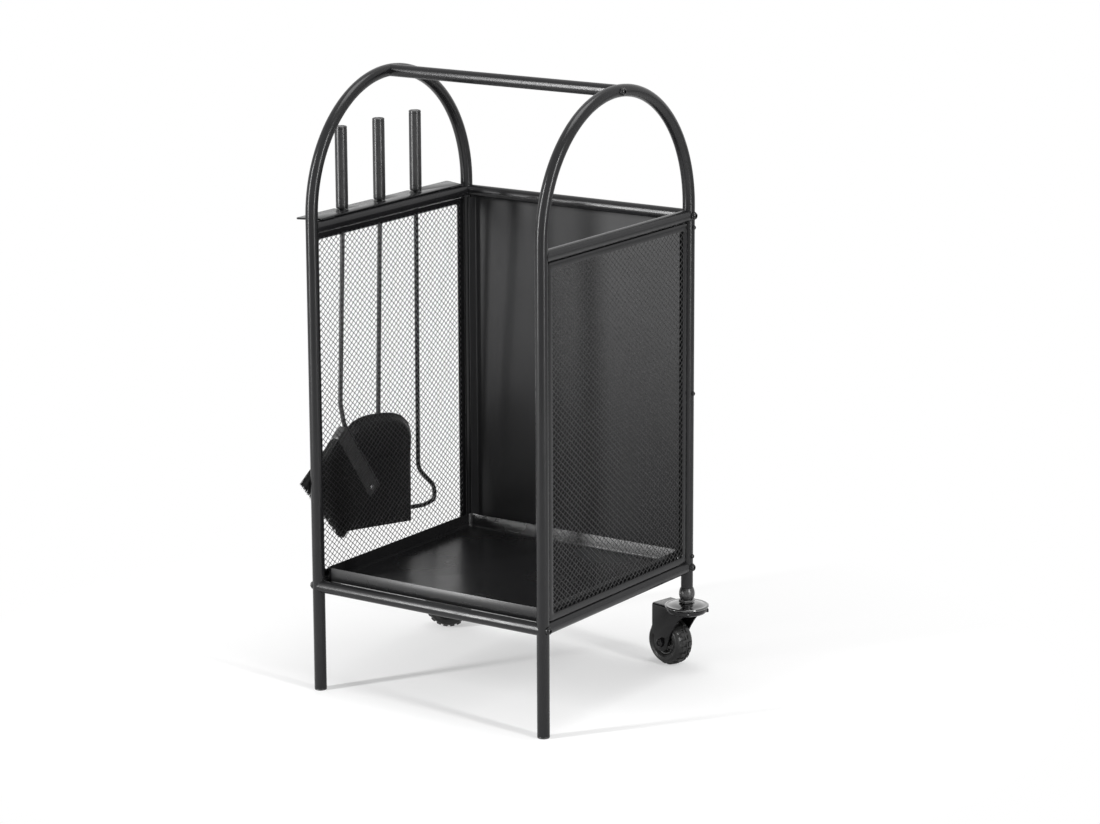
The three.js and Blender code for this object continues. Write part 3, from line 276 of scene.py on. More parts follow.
def turned(name, profile, sides=32):
    """A body of revolution about Z; the profile's ends lie on the axis."""
    verts, faces = [], []
    loops = []
    for radius, z in profile:
        if radius < 1e-6:
            loops.append([len(verts)])
            verts.append((0, 0, z))
        else:
            loops.append(list(range(len(verts), len(verts) + sides)))
            for k in range(sides):
                angle = 2 * math.pi * k / sides
                verts.append((radius * math.cos(angle), radius * math.sin(angle), z))
    for low, high in zip(loops, loops[1:]):
        for k in range(sides):
            m = (k + 1) % sides
            if len(low) == 1 and len(high) == 1:
                continue
            if len(low) == 1:
                faces.append((low[0], high[m], high[k]))
            elif len(high) == 1:
                faces.append((low[k], low[m], high[0]))
            else:
                faces.append((low[k], low[m], high[m], high[k]))
    return outward(mesh_of(name, verts, faces))


def turned_ring(name, profile, sides=32):
    """A ring of revolution about Z whose profile closes on itself."""
    loops = []
    for k in range(sides):
        angle = 2 * math.pi * k / sides
        loops.append([(r * math.cos(angle), r * math.sin(angle), z) for r, z in profile])
    return rings(name, loops, closed=True)


def rounded_loop(x0, y0, x1, y1, radius, steps=6):
    """A rounded rectangle, counter-clockwise."""
    points = []
    corners = (
        (x1 - radius, y0 + radius, -90), (x1 - radius, y1 - radius, 0),
        (x0 + radius, y1 - radius, 90), (x0 + radius, y0 + radius, 180))
    for cx, cy, start in corners:
        for i in range(steps + 1):
            angle = math.radians(start + 90 * i / steps)
            points.append((cx + radius * math.cos(angle), cy + radius * math.sin(angle)))
    return points


def plate(name, outline, low, high):
    """A flat outline in (x, y) raised from low to high."""
    return rings(name, [[(x, y, low) for x, y in outline], [(x, y, high) for x, y in outline]])


# ------------------------------------------------------------------ geometry node trees
def new_tree(name, sizes):
    """A geometry tree with the given named size inputs: {label: (socket type, value)}."""
    tree = bpy.data.node_groups.new(name, "GeometryNodeTree")
    tree.interface.new_socket("Geometry", in_out="INPUT", socket_type="NodeSocketGeometry")
    for label, (kind, value) in sizes.items():
        socket = tree.interface.new_socket(label, in_out="INPUT", socket_type=kind)
        socket.default_value = value
    tree.interface.new_socket("Geometry", in_out="OUTPUT", socket_type="NodeSocketGeometry")
    return tree, tree.nodes.new("NodeGroupInput"), tree.nodes.new("NodeGroupOutput")


def finish_tree(tree, outlet, exit_node, material):
    """Every tree ends by realizing its instances and setting its material."""
    realize = tree.nodes.new("GeometryNodeRealizeInstances")
    paint = tree.nodes.new("GeometryNodeSetMaterial")
    paint.inputs["Material"].default_value = material
    tree.links.new(outlet, realize.inputs["Geometry"])
    tree.links.new(realize.outputs["Geometry"], paint.inputs["Geometry"])
    tree.links.new(paint.outputs["Geometry"], exit_node.inputs["Geometry"])


def run_tree(tree, source, **sizes):
    """Evaluates a tree on a source mesh and gives back a plain mesh."""
    obj = loose_object(source)
    modifier = obj.modifiers.new(tree.name, "NODES")
    modifier.node_group = tree
    for item in tree.interface.items_tree:
        if item.in_out == "INPUT" and item.name in sizes:
            modifier[item.identifier] = sizes[item.name]
    return evaluated(obj)


def path_tree():
    """Rod, tube or wire: sweeps a round section along every line of the source."""
    tree, start, end = new_tree("rod_along_path", {
        "Radius": ("NodeSocketFloat", 3.0),
        "Sides": ("NodeSocketInt", 16),
    })
    to_curve = tree.nodes.new("GeometryNodeMeshToCurve")
    circle = tree.nodes.new("GeometryNodeCurvePrimitiveCircle")
    sweep = tree.nodes.new("GeometryNodeCurveToMesh")
    sweep.inputs["Fill Caps"].default_value = True
    tree.links.new(start.outputs["Geometry"], to_curve.inputs["Mesh"])
    tree.links.new(start.outputs["Radius"], circle.inputs["Radius"])
    tree.links.new(start.outputs["Sides"], circle.inputs["Resolution"])
    tree.links.new(to_curve.outputs["Curve"], sweep.inputs["Curve"])
    tree.links.new(circle.outputs["Curve"], sweep.inputs["Profile Curve"])
    finish_tree(tree, sweep.outputs["Mesh"], end, POWDER)
    return tree


def named_attribute(tree, name, kind):
    """A node that reads an attribute of the source's points."""
    node = tree.nodes.new("GeometryNodeInputNamedAttribute")
    node.data_type = kind
    node.inputs["Name"].default_value = name
    return node


def scatter_tree(name, template, material):
    """Copies a template mesh onto every source point, turned by the point's own angles."""
    holder = bpy.data.objects.new(name + "_template", template)
    tree, start, end = new_tree(name, {"Size": ("NodeSocketFloat", 1.0)})
    info = tree.nodes.new("GeometryNodeObjectInfo")
    info.inputs["Object"].default_value = holder
    turn = named_attribute(tree, "turn", "FLOAT_VECTOR")
    to_points = tree.nodes.new("GeometryNodeMeshToPoints")
    to_points.inputs["Radius"].default_value = 0.1
    instance = tree.nodes.new("GeometryNodeInstanceOnPoints")
    tree.links.new(start.outputs["Geometry"], to_points.inputs["Mesh"])
    tree.links.new(to_points.outputs["Points"], instance.inputs["Points"])
    tree.links.new(info.outputs["Geometry"], instance.inputs["Instance"])
    tree.links.new(turn.outputs["Attribute"], instance.inputs["Rotation"])
    tree.links.new(start.outputs["Size"], instance.inputs["Scale"])
    finish_tree(tree, instance.outputs["Instances"], end, material)
    return tree


def spots(places):
    """A source mesh of loose points, each with its own Euler turn."""
    mesh = mesh_of("spots", [p for p, _ in places], [])
    turn = mesh.attributes.new("turn", "FLOAT_VECTOR", "POINT")
    for i, (_, angles) in enumerate(places):
        turn.data[i].vector = angles
    return mesh


def polylines(lines):
    """A source mesh of open polylines for the path tree."""
    verts, edges = [], []
    for line in lines:
        base = len(verts)
        verts.extend(tuple(p) for p in line)
        edges.extend((base + i, base + i + 1) for i in range(len(line) - 1))
    mesh = bpy.data.meshes.new("lines")
    mesh.from_pydata(verts, edges, [])
    return mesh


PATH = path_tree()


def box_of(node):
    """A CAD node's corners in millimetres from the middle of the two side frames."""
    low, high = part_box(node)
    return (low - CENTRE) * 1000, (high - CENTRE) * 1000


def filleted(points, radius, steps=5):
    """A closed outline with its corners rounded; radius is one size or a list."""
    count = len(points)
    radii = radius if isinstance(radius, (list, tuple)) else [radius] * count
    rounded = []
    for i, (point, size) in enumerate(zip(points, radii)):
        here = Vector(point)
        if size <= 0:
            rounded.append(tuple(here))
            continue
        back = Vector(points[i - 1]) - here
        ahead = Vector(points[(i + 1) % count]) - here
        half = back.angle(ahead) / 2
        reach = min(size / math.tan(half), 0.48 * back.length, 0.48 * ahead.length)
        size = reach * math.tan(half)
        middle = here + (back.normalized() + ahead.normalized()).normalized() * (size / math.sin(half))
        first = here + back.normalized() * reach - middle
        last = here + ahead.normalized() * reach - middle
        sweep = first.angle_signed(last)
        for k in range(steps + 1):
            turn = Matrix.Rotation(-sweep * k / steps, 2)
            rounded.append(tuple(middle + turn @ first))
    return rounded


def bent(corners, radius, steps=8):
    """A polyline with each inner corner turned into an easy bend."""
    points = [Vector(corners[0])]
    for before, corner, after in zip(corners, corners[1:], corners[2:]):
        here = Vector(corner)
        back, ahead = Vector(before) - here, Vector(after) - here
        room = 0.45 * min(back.length, ahead.length)
        reach = min(radius / math.tan(back.angle(ahead) / 2), room)
        start, end = here + back.normalized() * reach, here + ahead.normalized() * reach
        for k in range(steps + 1):
            t = k / steps
            points.append(start * (1 - t) ** 2 + here * 2 * t * (1 - t) + end * t * t)
    points.append(Vector(corners[-1]))
    return points


def circle(radius, z, sides=24):
    return [(radius * math.cos(2 * math.pi * k / sides), radius * math.sin(2 * math.pi * k / sides), z)
            for k in range(sides)]


def hexagon(radius, z, sides=24):
    """A hexagon drawn with as many points as the circles next to it."""
    loop = []
    for k in range(sides):
        angle = 2 * math.pi * k / sides
        reach = radius * math.cos(math.pi / 6) / math.cos(angle % (math.pi / 3) - math.pi / 6)
        loop.append((reach * math.cos(angle), reach * math.sin(angle), z))
    return loop


def button_head(name, radius, height, skirt):
    """A socket button head on its washer, with a skirt that beds into the tube."""
    return rings(name, [
        circle(radius * 0.86, -skirt),
        circle(radius, 0.0),
        circle(radius, height * 0.16),
        circle(radius * 0.93, height * 0.24),
        circle(radius * 0.84, height * 0.26),
        circle(radius * 0.82, height * 0.5),
        circle(radius * 0.70, height * 0.8),
        circle(radius * 0.52, height * 0.97),
        circle(radius * 0.46, height),
        hexagon(radius * 0.42, height * 0.98),
        hexagon(radius * 0.40, height * 0.42),
    ])


def swept(lines, radius, sides=16):
    return run_tree(PATH, polylines(lines), Radius=radius, Sides=sides)


def intersected(mesh, cutter):
    """What two closed meshes share."""
    obj, tool = loose_object(mesh), loose_object(cutter)
    common = obj.modifiers.new("common", "BOOLEAN")
    common.operation = "INTERSECT"
    common.object = tool
    shared = evaluated(obj)
    bpy.data.objects.remove(tool)
    return shared


# ------------------------------------------------------------------ tube frame
TUBE_SIDES = 32
ARCH_STEPS = 96
FOOT_FLANGE_TOP = 2.3
RAIL_STOP = 2.0  # how far short of the post's axis a rail ends
SEAM_RADIUS = 8.1  # weld bead round the end of a rail
SEAM_STEPS = 32


def hoop_line(side):
    x = side * POST_X
    line = [(x, -POST_Y, FOOT_FLANGE_TOP)]
    for k in range(ARCH_STEPS + 1):
        angle = math.pi * k / ARCH_STEPS
        line.append((x, -POST_Y * math.cos(angle), ARCH_Z + POST_Y * math.sin(angle)))
    line.append((x, POST_Y, LEG_END_Z))
    return line


def saddle_line(side, end, z):
    """Where a side rail meets its post."""
    line = []
    for k in range(SEAM_STEPS + 1):
        angle = 2 * math.pi * k / SEAM_STEPS
        rise = math.hypot(TUBE * math.sin(angle), 0.9)
        line.append((side * POST_X + SEAM_RADIUS * math.cos(angle), end * (POST_Y - rise - 0.25),
                     z + SEAM_RADIUS * math.sin(angle)))
    return line


for side_name, side in SIDES:
    piece(f"{side_name}_tube_hoop", swept([hoop_line(side)], TUBE, TUBE_SIDES), POWDER, "powder_coat", "frame",
          f"{side_name}_hoop")
    for level, z in (("top", HIGH_RAIL_Z), ("low", LOW_RAIL_Z)):
        x = side * POST_X
        end_y = POST_Y - RAIL_STOP
        tube = swept([[(x, -end_y, z), (x, end_y, z)]], TUBE, TUBE_SIDES)
        beads = swept([saddle_line(side, -1, z), saddle_line(side, 1, z)], 0.75, 6)
        piece(f"{side_name}_{level}_side_tube", join(tube, beads), POWDER, "powder_coat", "frame",
              f"{side_name}_{level}_side_rail")

INNER = POST_X - RAIL_STOP
for rail, y, z in (("handle_bar", 0.0, APEX_Z), ("rear_top_rail", POST_Y, HIGH_RAIL_Z),
                   ("rear_low_rail", POST_Y, LOW_RAIL_Z), ("front_low_rail", -POST_Y, LOW_RAIL_Z)):
    piece(f"{rail}_tube", swept([[(-INNER, y, z), (INNER, y, z)]], TUBE, TUBE_SIDES), POWDER, "powder_coat",
          "frame", rail)

BOLT_PLACES = {"apex": (0.0, APEX_Z), "rear_top": (POST_Y, HIGH_RAIL_Z),
               "rear_low": (POST_Y, LOW_RAIL_Z), "front_low": (-POST_Y, LOW_RAIL_Z)}
SCREW_HEIGHTS = (155.3, 375.0, 594.7)


def fasteners(name, places, radius, height, skirt):
    """Socket heads on the outer faces of both side frames."""
    tree = scatter_tree(name, button_head(name, radius, height, skirt), STEEL)
    points = [((side * (POST_X + TUBE + 0.2), y, z), (0.0, side * math.pi / 2, 0.0))
              for _, side in SIDES for y, z in places]
    return run_tree(tree, spots(points))


piece("frame_bolts", fasteners("frame_bolt", BOLT_PLACES.values(), 5.5, 3.6, 2.4), STEEL, "black_steel",
      "frame", *(f"{name}_{place}_bolt" for name, _ in SIDES for place in BOLT_PLACES))
piece("back_panel_screws", fasteners("back_screw", [(POST_Y, z) for z in SCREW_HEIGHTS], 3.2, 2.0, 1.2),
      STEEL, "black_steel", "frame",
      *(f"{name}_back_screw_{i}" for name, _ in SIDES for i in (1, 2, 3)))


def foot_plug(side):
    low, high = box_of("left_foot_plug")
    flange = (high.x - low.x) / 2
    foot = rings("foot", [
        circle(flange - 1.2, 0.0, 32), circle(flange - 0.3, 0.35, 32), circle(flange, 1.0, 32),
        circle(flange, 1.6, 32), circle(flange - 0.4, 2.2, 32), circle(6.2, FOOT_FLANGE_TOP, 32),
        circle(6.2, 12.0, 32)])
    return moved(foot, Matrix.Translation((side * POST_X, -POST_Y, 0)))


for side_name, side in SIDES:
    piece(f"{side_name}_foot_cap", foot_plug(side), PLASTIC, "black_plastic", "frame", f"{side_name}_foot_plug")


# ------------------------------------------------------------------ mesh sides
FRAME_FACE = POST_X + PANEL_FACE
BAND = 9.0
DIAMOND_WIDTH = 9.7
DIAMOND_HEIGHT = 8.0
WIRE_RADIUS = 0.46
WEAVE = 0.3
NET_INSET = 3.5
WIRE_SPAN = 140  # enough crossings either way to cover the panel
WIRE_X = FRAME_FACE - 1.8
FRONT_TACKS = (525.0, 410.0, 258.0)
REAR_TACKS = (507.0, 230.0)


def panel_band(side):
    """The folded frame round a mesh side: a flat band with a lip turned in round its edge."""
    section = ((0.0, 6.0), (0.0, 1.3), (0.35, 0.4), (1.2, 0.0), (BAND - 0.5, 0.0), (BAND, 0.3),
               (BAND, 1.0), (1.1, 1.0), (1.1, 6.0))
    loops = []
    for inset, depth in section:
        outline = rounded_loop(-PANEL_Y + inset, PANEL_LOW + inset, PANEL_Y - inset, PANEL_TOP - inset,
                               5.0 - inset * 0.12)
        loops.append([(side * (FRAME_FACE - depth), y, z) for y, z in outline])
    return rings("band", loops, closed=True)


def tacks(side):
    """Short welds that hold the band to the posts."""
    lines = []
    for y, heights in ((-PANEL_Y - 0.4, FRONT_TACKS), (PANEL_Y + 0.4, REAR_TACKS)):
        for z in heights:
            lines.append([(side * (FRAME_FACE - 1.4), y, z - 3.5), (side * (FRAME_FACE - 1.4), y, z + 3.5)])
    return swept(lines, 1.3, 10)


def mesh_wires(side):
    """Wires on both slants of the diamonds, each passing over one wire and under the next."""
    middle = (PANEL_LOW + PANEL_TOP) / 2
    half_y, half_z = PANEL_Y - NET_INSET, (PANEL_TOP - PANEL_LOW) / 2 - NET_INSET
    lines = []
    for slant in (1, -1):
        for n in range(-WIRE_SPAN, WIRE_SPAN):
            line = []
            for m in range(-WIRE_SPAN, WIRE_SPAN):
                y = (n + m) * DIAMOND_WIDTH / 2
                z = (n - m) * DIAMOND_HEIGHT / 2 * slant
                if abs(y) > half_y or abs(z) > half_z:
                    continue
                over = 1 if (n + m) % 2 == 0 else -1
                line.append((side * (WIRE_X + slant * over * WEAVE), y, middle + z))
            if len(line) > 1:
                lines.append(line)
    return swept(lines, WIRE_RADIUS, 5)


for side_name, side in SIDES:
    piece(f"{side_name}_panel_band", join(panel_band(side), tacks(side)), POWDER, "powder_coat", "frame",
          f"{side_name}_mesh_frame")
    piece(f"{side_name}_woven_wires", mesh_wires(side), WIRE, "wire_coat", "frame", f"{side_name}_mesh",
          smooth_angle=80)


# ------------------------------------------------------------------ sheet pieces
def back_channel():
    half, front, rear, sheet = 167.2, POST_Y - 8.0, POST_Y + 8.0, 1.2
    outline = filleted([
        (-half, front), (-half, rear), (half, rear), (half, front), (half - sheet, front),
        (half - sheet, rear - sheet), (sheet - half, rear - sheet), (sheet - half, front)],
        [0.4, 3.0, 3.0, 0.4, 0.4, 1.8, 1.8, 0.4], 5)
    return plate("back", outline, PANEL_LOW, PANEL_TOP)


piece("back_sheet", softened(back_channel(), 0.35, 2, 60), BACK_SHEET, "panel_coat", "frame", "back_panel")


def tray_shell():
    half_x, half_y, low, top = 168.5, 159.8, 144.46, 164.0
    section = ((4.2, low), (1.6, low + 0.5), (0.5, low + 1.6), (0.0, low + 4.2), (0.0, top - 0.6),
               (0.2, top - 0.15), (0.6, top), (1.0, top - 0.15), (1.2, top - 0.6), (1.2, low + 4.6),
               (1.7, low + 2.6), (2.8, low + 1.5), (5.2, low + 1.2))
    loops = []
    for inset, z in section:
        outline = rounded_loop(-half_x + inset, -half_y + inset, half_x - inset, half_y - inset,
                               5.0 - inset * 0.4)
        loops.append([(x, y, z) for x, y in outline])
    return rings("tray_shell", loops)


piece("ash_tray", tray_shell(), SHEET, "panel_coat", "frame", "tray")


def holder_strip():
    """The slotted strip that the tools hang in."""
    outer, inner, slot, slot_end = -205.0, -172.5, 4.0, TOOL_X + 4.0
    points, radii = [(inner, -153.0), (inner, 153.0), (outer, 165.0)], [2.0, 2.0, 3.0]
    for y in reversed(TOOL_Y):
        points += [(outer, y + slot), (slot_end + slot, y + slot), (slot_end + slot, y - slot), (outer, y - slot)]
        radii += [2.5, slot, slot, 2.5]
    points.append((outer, -165.0))
    radii.append(3.0)
    return plate("strip", filleted(points, radii, 8), HOLDER_LOW, HOLDER_TOP)


def holder_beads():
    """Short welds along the strip's inner edge, one at each end."""
    x, z = -POST_X + 3.2, HOLDER_LOW + 0.6
    return swept([[(x, end * 126, z), (x, end * 151, z)] for end in (-1, 1)], 0.9, 10)


piece("tool_strip", join(softened(holder_strip(), 0.4, 2, 60), holder_beads()), POWDER, "powder_coat",
      "frame", "tool_holder")


# ------------------------------------------------------------------ hearth tools
HANDLE_LENGTH = 107.0
HANDLE_R = 8.0
ROD_R = 3.0
KNEE_Z = HANDLE_FOOT - 30.0
BRUSH_X = -189.6
BRUSH_TURN = Vector((BRUSH_X, -91.0, 337.8))
BRUSH_SLOPE = math.radians(54.2)
BRUSH_LENGTH = 116.0
BLOCK_NEAR = ROD_R + 0.3
BLOCK_FAR = BLOCK_NEAR + 22.0
BLOCK_HALF = 5.5
PAN_X = -197.1
PAN_TOP = Vector((0.0, 3.0, 329.8))
PAN_TILT = math.radians(7.2)
PAN_HALF = 78.0
PAN_LENGTH = 150.0
PAN_ARCH = 50.0
PAN_DEPTH = 8.0
PAN_WALL_RUN = 12.0  # how far the sloped wall runs in from the rim
PAN_RUNOUT = 1.6
PAN_SQUARENESS = 2 / 2.75


def grip(y):
    end = HANDLE_LENGTH
    profile = [(3.3, 12.0), (3.3, 0.0), (6.4, 0.0), (7.4, 0.35), (7.85, 0.9), (HANDLE_R, 1.8),
               (HANDLE_R, 6.0), (7.7, 6.3), (7.7, 6.9), (HANDLE_R, 7.2), (HANDLE_R, end - 3.6),
               (7.65, end - 3.3), (7.65, end - 2.8), (HANDLE_R, end - 2.5), (HANDLE_R, end - 1.2),
               (7.85, end - 0.6), (7.4, end - 0.2), (6.8, end), (6.2, end - 0.5), (0.0, end - 0.5)]
    return moved(turned("grip", [(0.0, 12.0)] + profile, 40), Matrix.Translation((TOOL_X, y, HANDLE_FOOT)))


def rod(y, lower):
    line = bent([(TOOL_X, y, HANDLE_FOOT + 11.5), (TOOL_X, y, KNEE_Z), *lower], 24)
    return softened(swept([line], ROD_R, 18), 0.6, 2, 50)


brush_along = Vector((0, math.cos(BRUSH_SLOPE), -math.sin(BRUSH_SLOPE)))
brush_out = Vector((0, brush_along.z, -brush_along.y))
brush_across = brush_along.cross(brush_out)
BRUSH_FRAME = Matrix((
    (brush_along.x, brush_out.x, brush_across.x, BRUSH_TURN.x),
    (brush_along.y, brush_out.y, brush_across.y, BRUSH_TURN.y),
    (brush_along.z, brush_out.z, brush_across.z, BRUSH_TURN.z),
    (0, 0, 0, 1)))


def brush_head():
    outline = filleted([(0, BLOCK_NEAR), (BRUSH_LENGTH, BLOCK_NEAR), (BRUSH_LENGTH, BLOCK_FAR), (0, BLOCK_FAR)],
                       3.0, 6)
    return moved(softened(plate("head", outline, -BLOCK_HALF, BLOCK_HALF), 1.3, 3, 60), BRUSH_FRAME)


def brush_rivet():
    profile = [(0.0, 6.6), (1.6, 6.5), (2.8, 6.15), (3.4, 5.7), (3.4, 5.3), (0.0, 5.3)]
    near = turned("rivet", profile, 24)
    far = moved(turned("rivet", profile, 24), Matrix.Rotation(math.pi, 4, "X"))
    place = BRUSH_FRAME @ Matrix.Translation((BRUSH_LENGTH - 8.0, BLOCK_NEAR + 11.0, 0))
    return moved(join(near, far), place)


def bristle_tree():
    """Stands a strand on every source point, leaning as the point says, each a little its own way."""
    tree, start, end = new_tree("bristle_field", {
        "Thickness": ("NodeSocketFloat", 1.0),
        "Stray": ("NodeSocketFloat", 0.012),
        "Shortest": ("NodeSocketFloat", 0.965),
        "Seed": ("NodeSocketInt", 7),
    })
    strand = bpy.data.objects.new("strand_template", rings("strand", [
        [(radius * math.cos(a) + sway, radius * math.sin(a), height) for a in (0.5, 2.07, 3.64, 5.21)]
        for radius, sway, height in ((0.42, 0.0, 0.0), (0.42, 0.1, 0.5), (0.25, 0.0, 1.0))]))
    info = tree.nodes.new("GeometryNodeObjectInfo")
    info.inputs["Object"].default_value = strand
    lean = named_attribute(tree, "turn", "FLOAT_VECTOR")
    length = named_attribute(tree, "length", "FLOAT")
    stray = tree.nodes.new("FunctionNodeRandomValue")
    stray.data_type = "FLOAT_VECTOR"
    spread = tree.nodes.new("ShaderNodeVectorMath")
    spread.operation = "SCALE"
    total = tree.nodes.new("ShaderNodeVectorMath")
    total.operation = "ADD"
    trim = tree.nodes.new("FunctionNodeRandomValue")
    trim.data_type = "FLOAT"
    trimmed = tree.nodes.new("ShaderNodeMath")
    trimmed.operation = "MULTIPLY"
    size = tree.nodes.new("ShaderNodeCombineXYZ")
    to_points = tree.nodes.new("GeometryNodeMeshToPoints")
    instance = tree.nodes.new("GeometryNodeInstanceOnPoints")
    link = tree.links.new
    stray.inputs["Min"].default_value = (-1, -1, -3)
    stray.inputs["Max"].default_value = (1, 1, 3)
    link(start.outputs["Seed"], stray.inputs["Seed"])
    link(stray.outputs["Value"], spread.inputs[0])
    link(start.outputs["Stray"], spread.inputs["Scale"])
    link(lean.outputs["Attribute"], total.inputs[0])
    link(spread.outputs["Vector"], total.inputs[1])
    link(start.outputs["Shortest"], trim.inputs[2])
    trim.inputs[3].default_value = 1.0
    link(start.outputs["Seed"], trim.inputs["Seed"])
    link(length.outputs["Attribute"], trimmed.inputs[0])
    link(trim.outputs[1], trimmed.inputs[1])
    link(start.outputs["Thickness"], size.inputs["X"])
    link(start.outputs["Thickness"], size.inputs["Y"])
    link(trimmed.outputs["Value"], size.inputs["Z"])
    link(start.outputs["Geometry"], to_points.inputs["Mesh"])
    link(to_points.outputs["Points"], instance.inputs["Points"])
    link(info.outputs["Geometry"], instance.inputs["Instance"])
    link(total.outputs["Vector"], instance.inputs["Rotation"])
    link(size.outputs["Vector"], instance.inputs["Scale"])
    finish_tree(tree, instance.outputs["Instances"], end, BRISTLE)
    return tree


def bristles():
    """Rows of strands from the head's far face, longest at its high end, trimmed in one line."""
    rows, files, long, short, splay = 104, 13, 84.0, 73.0, 3.0
    places, lengths = [], []
    for row in range(rows):
        share = row / (rows - 1)
        reach = long + (short - long) * share
        along = 2.0 + share * (BRUSH_LENGTH - 4.0)
        lean = (share - 0.5) * 2 * splay / reach
        for file in range(files):
            side = file / (files - 1) - 0.5
            places.append(((along, side * 9.0, 0.0), (-side * 0.03, lean, 0.0)))
            lengths.append(reach)
    source = spots(places)
    stretch = source.attributes.new("length", "FLOAT", "POINT")
    for i, reach in enumerate(lengths):
        stretch.data[i].value = reach
    field = run_tree(bristle_tree(), source)
    upright = Matrix.Translation((0, BLOCK_FAR - 0.4, 0)) @ Matrix.Rotation(math.radians(-90), 4, "X")
    return moved(field, BRUSH_FRAME @ upright)


for tool, y in zip(("brush", "shovel", "poker"), TOOL_Y):
    piece(f"{tool}_grip", grip(y), RODS, "powder_coat", tool, f"{tool}_handle")

piece("brush_bent_rod", rod(TOOL_Y[0], [
    (BRUSH_X, -98.0, 365.8), tuple(BRUSH_TURN), tuple(BRUSH_TURN + brush_along * (BRUSH_LENGTH + 4))]),
    RODS, "powder_coat", "brush", "brush_rod")
piece("brush_head_block", brush_head(), HEAD_PAINT, "black_plastic", "brush", "brush_block")
piece("brush_head_rivet", brush_rivet(), ZINC, "black_steel", "brush", "brush_rivet")
piece("brush_strands", bristles(), BRISTLE, "bristle", "brush", "brush_bristles")


def rim_depth(share):
    return PAN_DEPTH * min(1.0, (1 - share) * PAN_RUNOUT)


def pan_rim(count=96):
    """The pan's outline from one end of its open edge, over the arch, to the other."""
    arch = round(count * 0.6)
    side = (count - arch) // 2
    straight = [PAN_LENGTH + (PAN_ARCH - PAN_LENGTH) * i / side for i in range(side)]
    points = [(-PAN_HALF, down) for down in straight]
    for i in range(arch + 1):
        angle = math.pi - math.pi * i / arch
        reach = math.copysign(abs(math.cos(angle)) ** PAN_SQUARENESS, math.cos(angle))
        points.append((reach * PAN_HALF, PAN_ARCH * (1 - math.sin(angle) ** PAN_SQUARENESS)))
    return points + [(PAN_HALF, down) for down in reversed(straight)]


def pan_spot(point, lift):
    across = Vector((0, math.cos(PAN_TILT), -math.sin(PAN_TILT)))
    down = Vector((0, -math.sin(PAN_TILT), -math.cos(PAN_TILT)))
    return Vector((PAN_X - lift, PAN_TOP.y, PAN_TOP.z)) + across * point[0] + down * point[1]


def pan_shell():
    """Sheet pan: flat floor, a wall that rounds up to the rim, and a rolled edge."""
    rim = pan_rim()
    last = len(rim) - 1
    steps = ((0.0, 1.0), (0.28, 0.78), (0.55, 0.42), (0.8, 0.14), (1.0, 0.03), (1.25, 0.0))
    layers = []
    for layer in (0.0, 1.0):
        loops = []
        for run_share, lift_share in steps:
            loop = []
            for across, down in rim:
                share = down / PAN_LENGTH
                run = PAN_WALL_RUN * min(1.0, (1 - share) * PAN_RUNOUT) * run_share
                inward = Vector((-across, 0 if down > PAN_ARCH else PAN_LENGTH * 0.62 - down)).normalized()
                spot = (across + inward.x * run, down + inward.y * run)
                loop.append(pan_spot(spot, rim_depth(share) * lift_share + layer))
            loops.append(loop)
        layers.append(loops)
    verts = [p for loops in layers for loop in loops for p in loop]
    count, depth = len(rim), len(steps)
    faces = []
    for layer in (0, 1):
        base = layer * depth * count
        for s in range(depth - 1):
            for i in range(last):
                a, b = base + s * count + i, base + (s + 1) * count + i
                faces.append((a, a + 1, b + 1, b))
        inner = base + (depth - 1) * count
        for i in range(last // 2):
            if i + 1 == last - i - 1:
                faces.append((inner + i, inner + i + 1, inner + last - i))
            else:
                faces.append((inner + i, inner + i + 1, inner + last - i - 1, inner + last - i))
    top = depth * count
    for i in range(last):
        faces.append((i, i + 1, top + i + 1, top + i))
    edge = [s * count for s in range(depth)] + [s * count + last for s in range(depth - 1, -1, -1)]
    for a, b in zip(edge, edge[1:]):
        faces.append((a, b, top + b, top + a))
    shell = outward(mesh_of("pan", verts, faces))
    rolled = [pan_spot(p, rim_depth(p[1] / PAN_LENGTH) + 0.5) for p in rim]
    return join(shell, swept([rolled], 1.1, 10))


piece("shovel_sheet_pan", pan_shell(), PAN_SHEET, "panel_coat", "shovel", "shovel_pan", smooth_angle=50)
FLOOR_ROD_X = PAN_X - 1.3 - ROD_R
piece("shovel_bent_rod", rod(TOOL_Y[1], [
    (FLOOR_ROD_X - PAN_DEPTH, 9.0, PAN_TOP.z - 6.0), (FLOOR_ROD_X, 11.0, PAN_TOP.z - 34.0),
    (FLOOR_ROD_X, 12.0, PAN_TOP.z - 68.0)]), RODS, "powder_coat", "shovel", "shovel_rod")
piece("poker_bent_rod", rod(TOOL_Y[2], [
    (TOOL_X - 8, 88, HANDLE_FOOT - 383), (TOOL_X - 10, 127, HANDLE_FOOT - 417),
    (TOOL_X - 12, 131, HANDLE_FOOT - 437), (TOOL_X - 14, 108, HANDLE_FOOT - 440),
    (TOOL_X - 18, 42, HANDLE_FOOT - 433)]), POWDER, "powder_coat", "poker", "poker_rod")


# ------------------------------------------------------------------ casters
HEADINGS = {"left": math.radians(215), "right": math.radians(167.3)}
TRAIL = 30.0
WHEEL_R = 32.5
ARM_INNER = 16.4
ARM_SHEET = 2.2
FORK_TOP = 85.0
ARM_LOW_Z = 18.0
EYE_RADIUS = 12
FORK_FRONT = 22.5
FORK_BACK = 16.5
LUGS = 20


def socket_collar():
    low = LEG_END_Z - 15.3
    return turned_ring("collar", [
        (5.4, low), (8.4, low), (9.0, low + 0.3), (9.9, low + 2.6), (10.4, low + 5.2), (10.4, low + 8.6),
        (9.9, low + 11.4), (8.9, low + 14.4), (8.3, low + 15.0), (6.4, low + 15.0), (6.4, low + 24.0),
        (5.4, low + 24.0)], 36)


